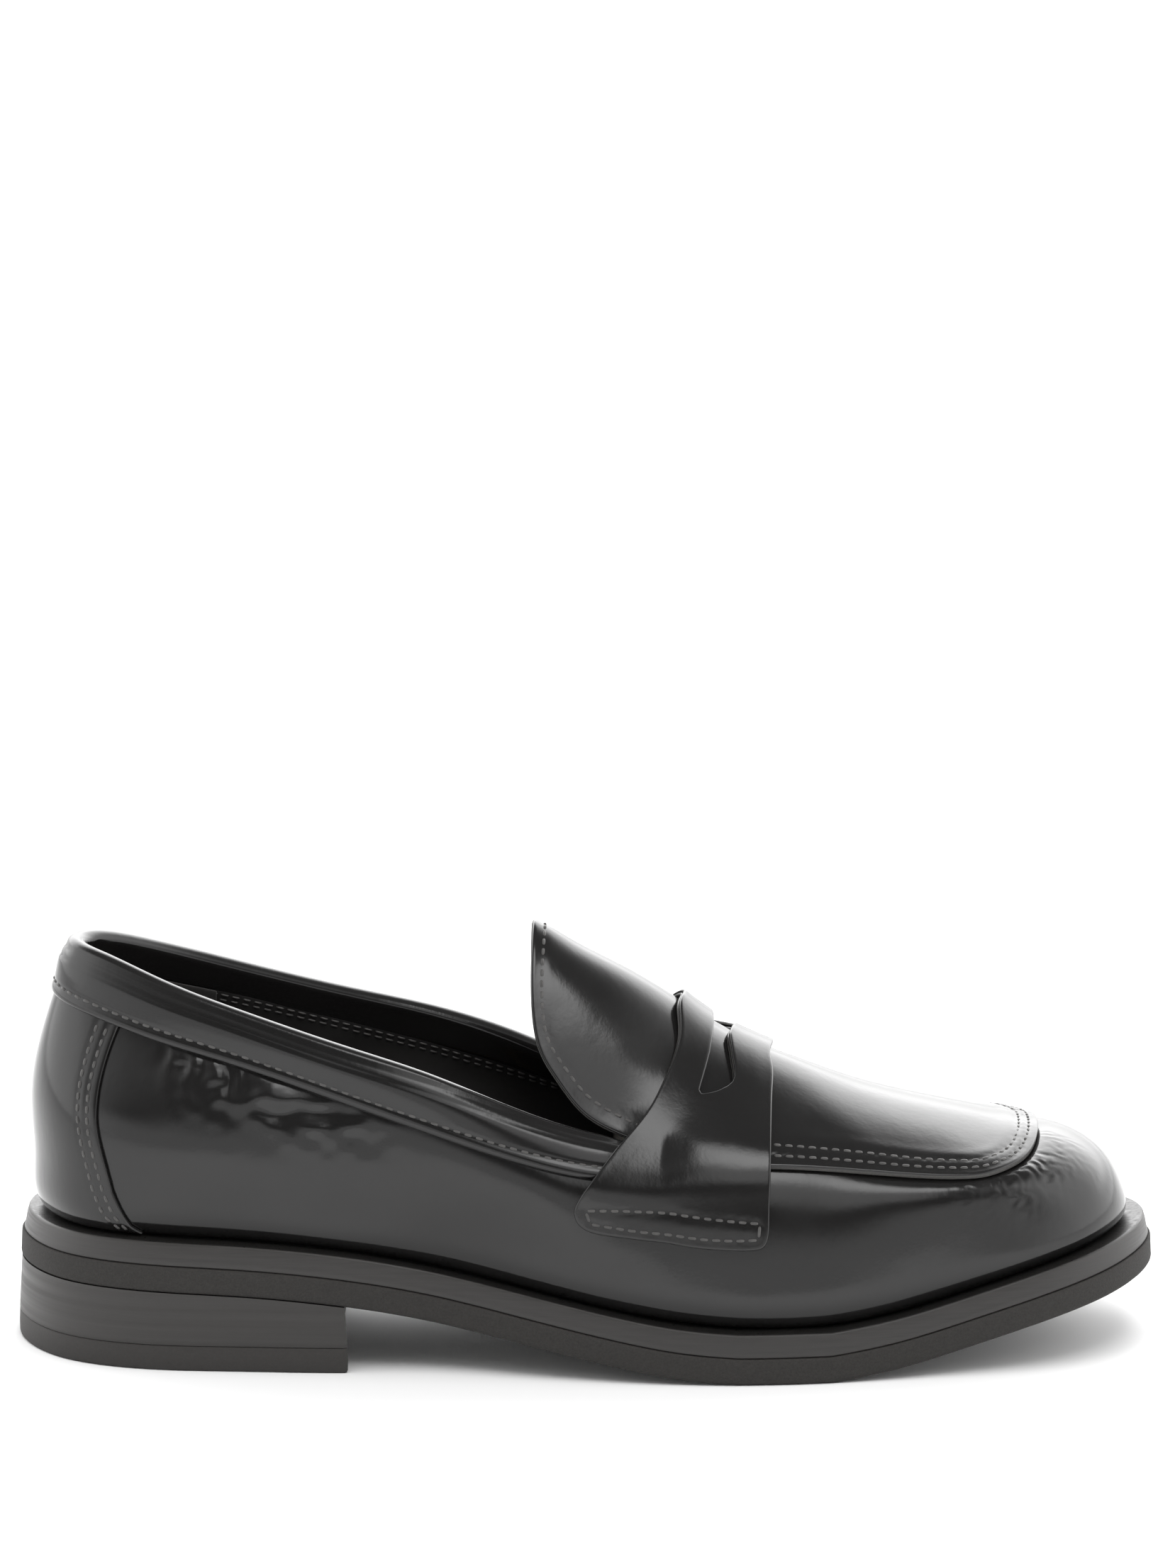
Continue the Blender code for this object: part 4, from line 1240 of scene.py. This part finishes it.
def build_strap(looks):
    girth = Girth()
    outline = closed_curve(strap_outline(), 0.75)
    half = np.array(SLOT_HALF, float)
    slot = np.concatenate([half * [1, -1], (half[1:-1])[::-1]]) + [0, STRAP_MIDDLE]
    hole = even_points(slot, 0.75)
    rows = strap_rows()

    def relief(plane, base):
        made = 0.08 * noise(base, 32, 21, 1)
        distance = outline_distance(plane, outline)[0]
        made -= 0.1 * (1 - smooth_step(distance, 0.5, 5))
        for row in rows:
            gap = np.min(np.linalg.norm(plane[:, None, :] - row[None, ::6, :], axis=2), axis=1)
            made -= 0.16 * hump(gap, 0, 0.55)
        return made

    cut_sheet("strap_backing_layer", outline, [hole], 1.3, girth.place, 0.0, STRAP_LAYER,
              looks["strap_sheet"], ("strap_backing",))
    low = STRAP_LAYER + STRAP_GAP
    cut_sheet("strap_leather", outline, [hole], 1.1, girth.place, low, low + STRAP_LAYER,
              looks["strap_sheet"], ("strap",), relief)
    for row in rows:
        stitch_row(*girth.place(row), 2 * STRAP_LAYER - 0.06)


LINING_FACES = -2.95, -2.4     # inner and outer face, from the wall
GRIP_FACES = -3.9, -3.15


def lining_stitches(u, v, lift):
    """A row of finer stitches on the inner face of the linings."""
    points, normals = wall_line(u, v)
    stitch_row(points, -normals, lift, LINING_THREAD)


def build_linings(looks):
    low, high = LINING_FACES
    base, normal = wall(fine_lines(-7.9, 8.4, 190, 0.01), fine_lines(-0.3, 3.52, 34, 0.03))
    ripple = 0.12 * noise(base, 22, 31, 1)
    grid_sheet("quarter_lining_skin", base, normal, low + ripple, high, looks["lining_sheet"],
               ("quarter_lining",), "lining_leather")
    base, normal = wall(fine_lines(8.5, 21.5, 150, 0.01), fine_lines(-0.3, 3.85, 30, 0.03))
    grid_sheet("vamp_lining_skin", base, normal, low, high, looks["lining_sheet"],
               ("vamp_lining",), "lining_leather")
    base, normal = wall(fine_lines(-3.75, 3.75, 90, 0.02), fine_lines(0.5, 3.5, 40, 0.04))
    grid_sheet("heel_grip_suede", base, normal, *GRIP_FACES, looks["suede_sheet"],
               ("heel_grip",), "heel_suede")
    line_u = np.linspace(-7.6, 7.6, 300)
    for line, lift in ((3.42, 3.1), (3.3, 3.0)):
        lining_stitches(line_u, np.full(300, line), lift)
    for side in (-1, 1):
        lining_stitches(np.full(60, side * 3.6), np.linspace(0.8, 3.4, 60), 3.85)


def build_sock(looks):
    loop = inset(LINES[2], 5.2)
    outline = closed_curve(loop[:, :2], 1.6)

    def place(plan):
        centre = sway(plan[:, 0], 0)
        spread = np.abs(plan[:, 1] - centre) / 30
        z = welt_top(plan[:, 0]) + 6.9 + 1.5 * spread ** 3
        base = np.stack([plan[:, 0], plan[:, 1], z], 1)
        return base, np.tile([0.0, 0.0, 1.0], (len(plan), 1))

    cut_sheet("sock_leather", outline, [], 2.4, place, 0.0, 1.0, looks["lining_sheet"],
              ("sock_liner",))


# Nodes that stay the CAD's own: dark colour, light colour, grain scale, roughness, metal.
HIDDEN = (
    ("insole_board", (0.3, 0.2, 0.12), (0.5, 0.36, 0.24), 900, 0.85, 0.0),
    ("footbed_foam", (0.6, 0.57, 0.48), (0.8, 0.77, 0.66), 1400, 0.95, 0.0),
    ("forepart_filler", (0.22, 0.12, 0.06), (0.5, 0.32, 0.18), 500, 0.9, 0.0),
    ("shank", (0.3, 0.3, 0.32), (0.5, 0.5, 0.52), 300, 0.35, 1.0),
    ("counter_stiffener toe_puff", (0.45, 0.4, 0.33), (0.6, 0.55, 0.46), 1100, 0.85, 0.0),
    ("side_interlining_lateral side_interlining_medial", (0.55, 0.53, 0.48),
     (0.75, 0.73, 0.68), 1600, 0.95, 0.0),
    ("heel_nail_1 heel_nail_2 heel_nail_3 heel_nail_4 heel_nail_5", (0.4, 0.4, 0.41),
     (0.6, 0.6, 0.62), 700, 0.3, 1.0),
)


def dress_hidden_nodes():
    for names, *look in HIDDEN:
        for name in names.split():
            finish = plain_finish(f"{name}_finish", *look)
            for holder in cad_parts[name].material_slots:
                holder.link = "OBJECT"
                holder.material = finish


# ---- stage -----------------------------------------------------------------
CAMERA_X = 0.0006
CAMERA_DISTANCE = 4.0
CAMERA_ELEVATION = 15.0
PIXELS_PER_METRE = 5909.0
IMAGE_HEIGHT = 2212
AIM_HEIGHT = 0.1343
# Brightness of the studio's parts.
CAMERA_SIDE = 0.12
HORIZON = 0.95
SIDE_WALLS = 2.2
BACK_BAND = 1.9
CEILING = 0.22
STRIP_LOW = 1.3
STRIP_HIGH = 3.2
# Area lights: position, size, power. The shoe's polish doesn't mirror them.
LIGHTS = {"top_box": ((0.2, 0.9, 1.3), 0.8, 8), "overhead": ((0, -0.35, 1.6), 1.4, 19)}


def build_camera():
    elevation = math.radians(CAMERA_ELEVATION)
    data = bpy.data.cameras.new("camera")
    data.sensor_width = 36.0
    data.lens = PIXELS_PER_METRE * CAMERA_DISTANCE * data.sensor_width / IMAGE_HEIGHT
    data.clip_end = 50
    camera = bpy.data.objects.new("camera", data)
    bpy.context.scene.collection.objects.link(camera)
    away = Vector((0, -math.cos(elevation), math.sin(elevation))) * CAMERA_DISTANCE
    camera.location = Vector((CAMERA_X, 0, 0.05)) + away
    look = Vector((CAMERA_X, 0, AIM_HEIGHT)) - camera.location
    camera.rotation_euler = look.to_track_quat("-Z", "Y").to_euler()
    bpy.context.scene.camera = camera


def build_stage():
    bpy.ops.mesh.primitive_plane_add(size=24)
    floor = bpy.context.object
    floor.name = "floor"
    paint = bpy.data.materials.new("floor_paint")
    paint.use_nodes = True
    shader = paint.node_tree.nodes["Principled BSDF"]
    shader.inputs["Base Color"].default_value = (0.8, 0.8, 0.8, 1)
    shader.inputs["Roughness"].default_value = 0.9
    shader.inputs["Specular IOR Level"].default_value = 0.1
    floor.data.materials.append(paint)
    for name, (location, size, power) in LIGHTS.items():
        add_light(name, location, size, power)
    world = bpy.data.worlds.new("studio")
    bpy.context.scene.world = world
    world.use_nodes = True
    build_sky(world.node_tree)
    view = bpy.context.scene.view_settings
    view.view_transform = "Standard"
    view.look = "None"


def add_light(name, location, size, power):
    """A square light that points at the origin."""
    data = bpy.data.lights.new(name, "AREA")
    data.shape = "SQUARE"
    data.size = size
    data.energy = power
    light = bpy.data.objects.new(name, data)
    bpy.context.scene.collection.objects.link(light)
    light.location = location
    light.rotation_euler = (-Vector(location)).to_track_quat("-Z", "Y").to_euler()
    light.visible_glossy = False


def build_sky(tree):
    """White studio walls, brightest behind the shoe, and a tall strip beside the camera.

    Ramps run over the direction's parts: side, depth (the camera is at -1) and height.
    """
    nodes, links = tree.nodes, tree.links
    place = nodes.new("ShaderNodeTexCoord").outputs["Generated"]
    split = nodes.new("ShaderNodeSeparateXYZ")
    links.new(place, split.inputs[0])

    def ramp(value, start, end, low, high):
        made = nodes.new("ShaderNodeMapRange")
        made.interpolation_type = "SMOOTHSTEP"
        links.new(value, made.inputs["Value"])
        numbers = {"From Min": start, "From Max": end, "To Min": low, "To Max": high}
        for key, number in numbers.items():
            made.inputs[key].default_value = number
        return made.outputs["Result"]

    def combine(operation, first, second):
        made = nodes.new("ShaderNodeMath")
        made.operation = operation
        links.new(first, made.inputs[0])
        links.new(second, made.inputs[1])
        return made.outputs[0]

    add, multiply = partial(combine, "ADD"), partial(combine, "MULTIPLY")
    side, depth, height = split.outputs
    walls = ramp(depth, -0.85, -0.1, CAMERA_SIDE, SIDE_WALLS)
    low = multiply(ramp(depth, -0.75, -0.2, HORIZON, 0), ramp(height, 0.16, 0.36, 1, 0))
    back = multiply(ramp(depth, 0.25, 0.75, 0, BACK_BAND), ramp(height, 0.1, 0.3, 0, 1))
    walls = add(add(walls, low), back)
    below = multiply(walls, ramp(height, 0.56, 0.88, 1, 0))
    strip = add(ramp(height, 0.42, 0.56, 0, STRIP_LOW), ramp(height, 0.7, 0.84, 0, STRIP_HIGH))
    for edge in (ramp(side, 0.0, 0.1, 0, 1), ramp(side, 0.31, 0.38, 1, 0),
                 ramp(depth, -0.42, -0.2, 1, 0)):
        strip = multiply(strip, edge)
    light = add(add(below, ramp(height, 0.66, 0.8, 0, CEILING)), strip)
    world = nodes["Background"]
    links.new(light, world.inputs["Strength"])
    world.inputs["Color"].default_value = (1, 1, 1, 1)


# ---- the shoe --------------------------------------------------------------
def build_shoe():
    leather, edge, flesh = upper_leather(), grained("leather_cut_edge"), grained("leather_flesh_side")
    lining, suede = lining_leather(), heel_suede()
    looks = {
        "sheet": [leather, flesh, leather],
        "apron_sheet": [leather, flesh, edge],
        "strap_sheet": [leather, flesh, edge],
        "lining_sheet": [lining, lining, lining],
        "suede_sheet": [suede, suede, suede],
        "welt": welt_edge(),
        # the welt's upper face carries painted shade: it is coloured darker than the edge
        "welt_top": welt_top_painted_shade(),
        "outsole": grained("outsole_rubber"),
        "stack": heel_stack(),
        "lift": grained("top_piece_rubber"),
    }
    build_sole(looks)
    build_vamp(looks)
    build_counter(looks)
    build_collar(looks)
    build_apron(looks)
    build_strap(looks)
    build_linings(looks)
    build_sock(looks)
    make_threads("stitching", thread())
    dress_hidden_nodes()


build_camera()
build_stage()
build_shoe()
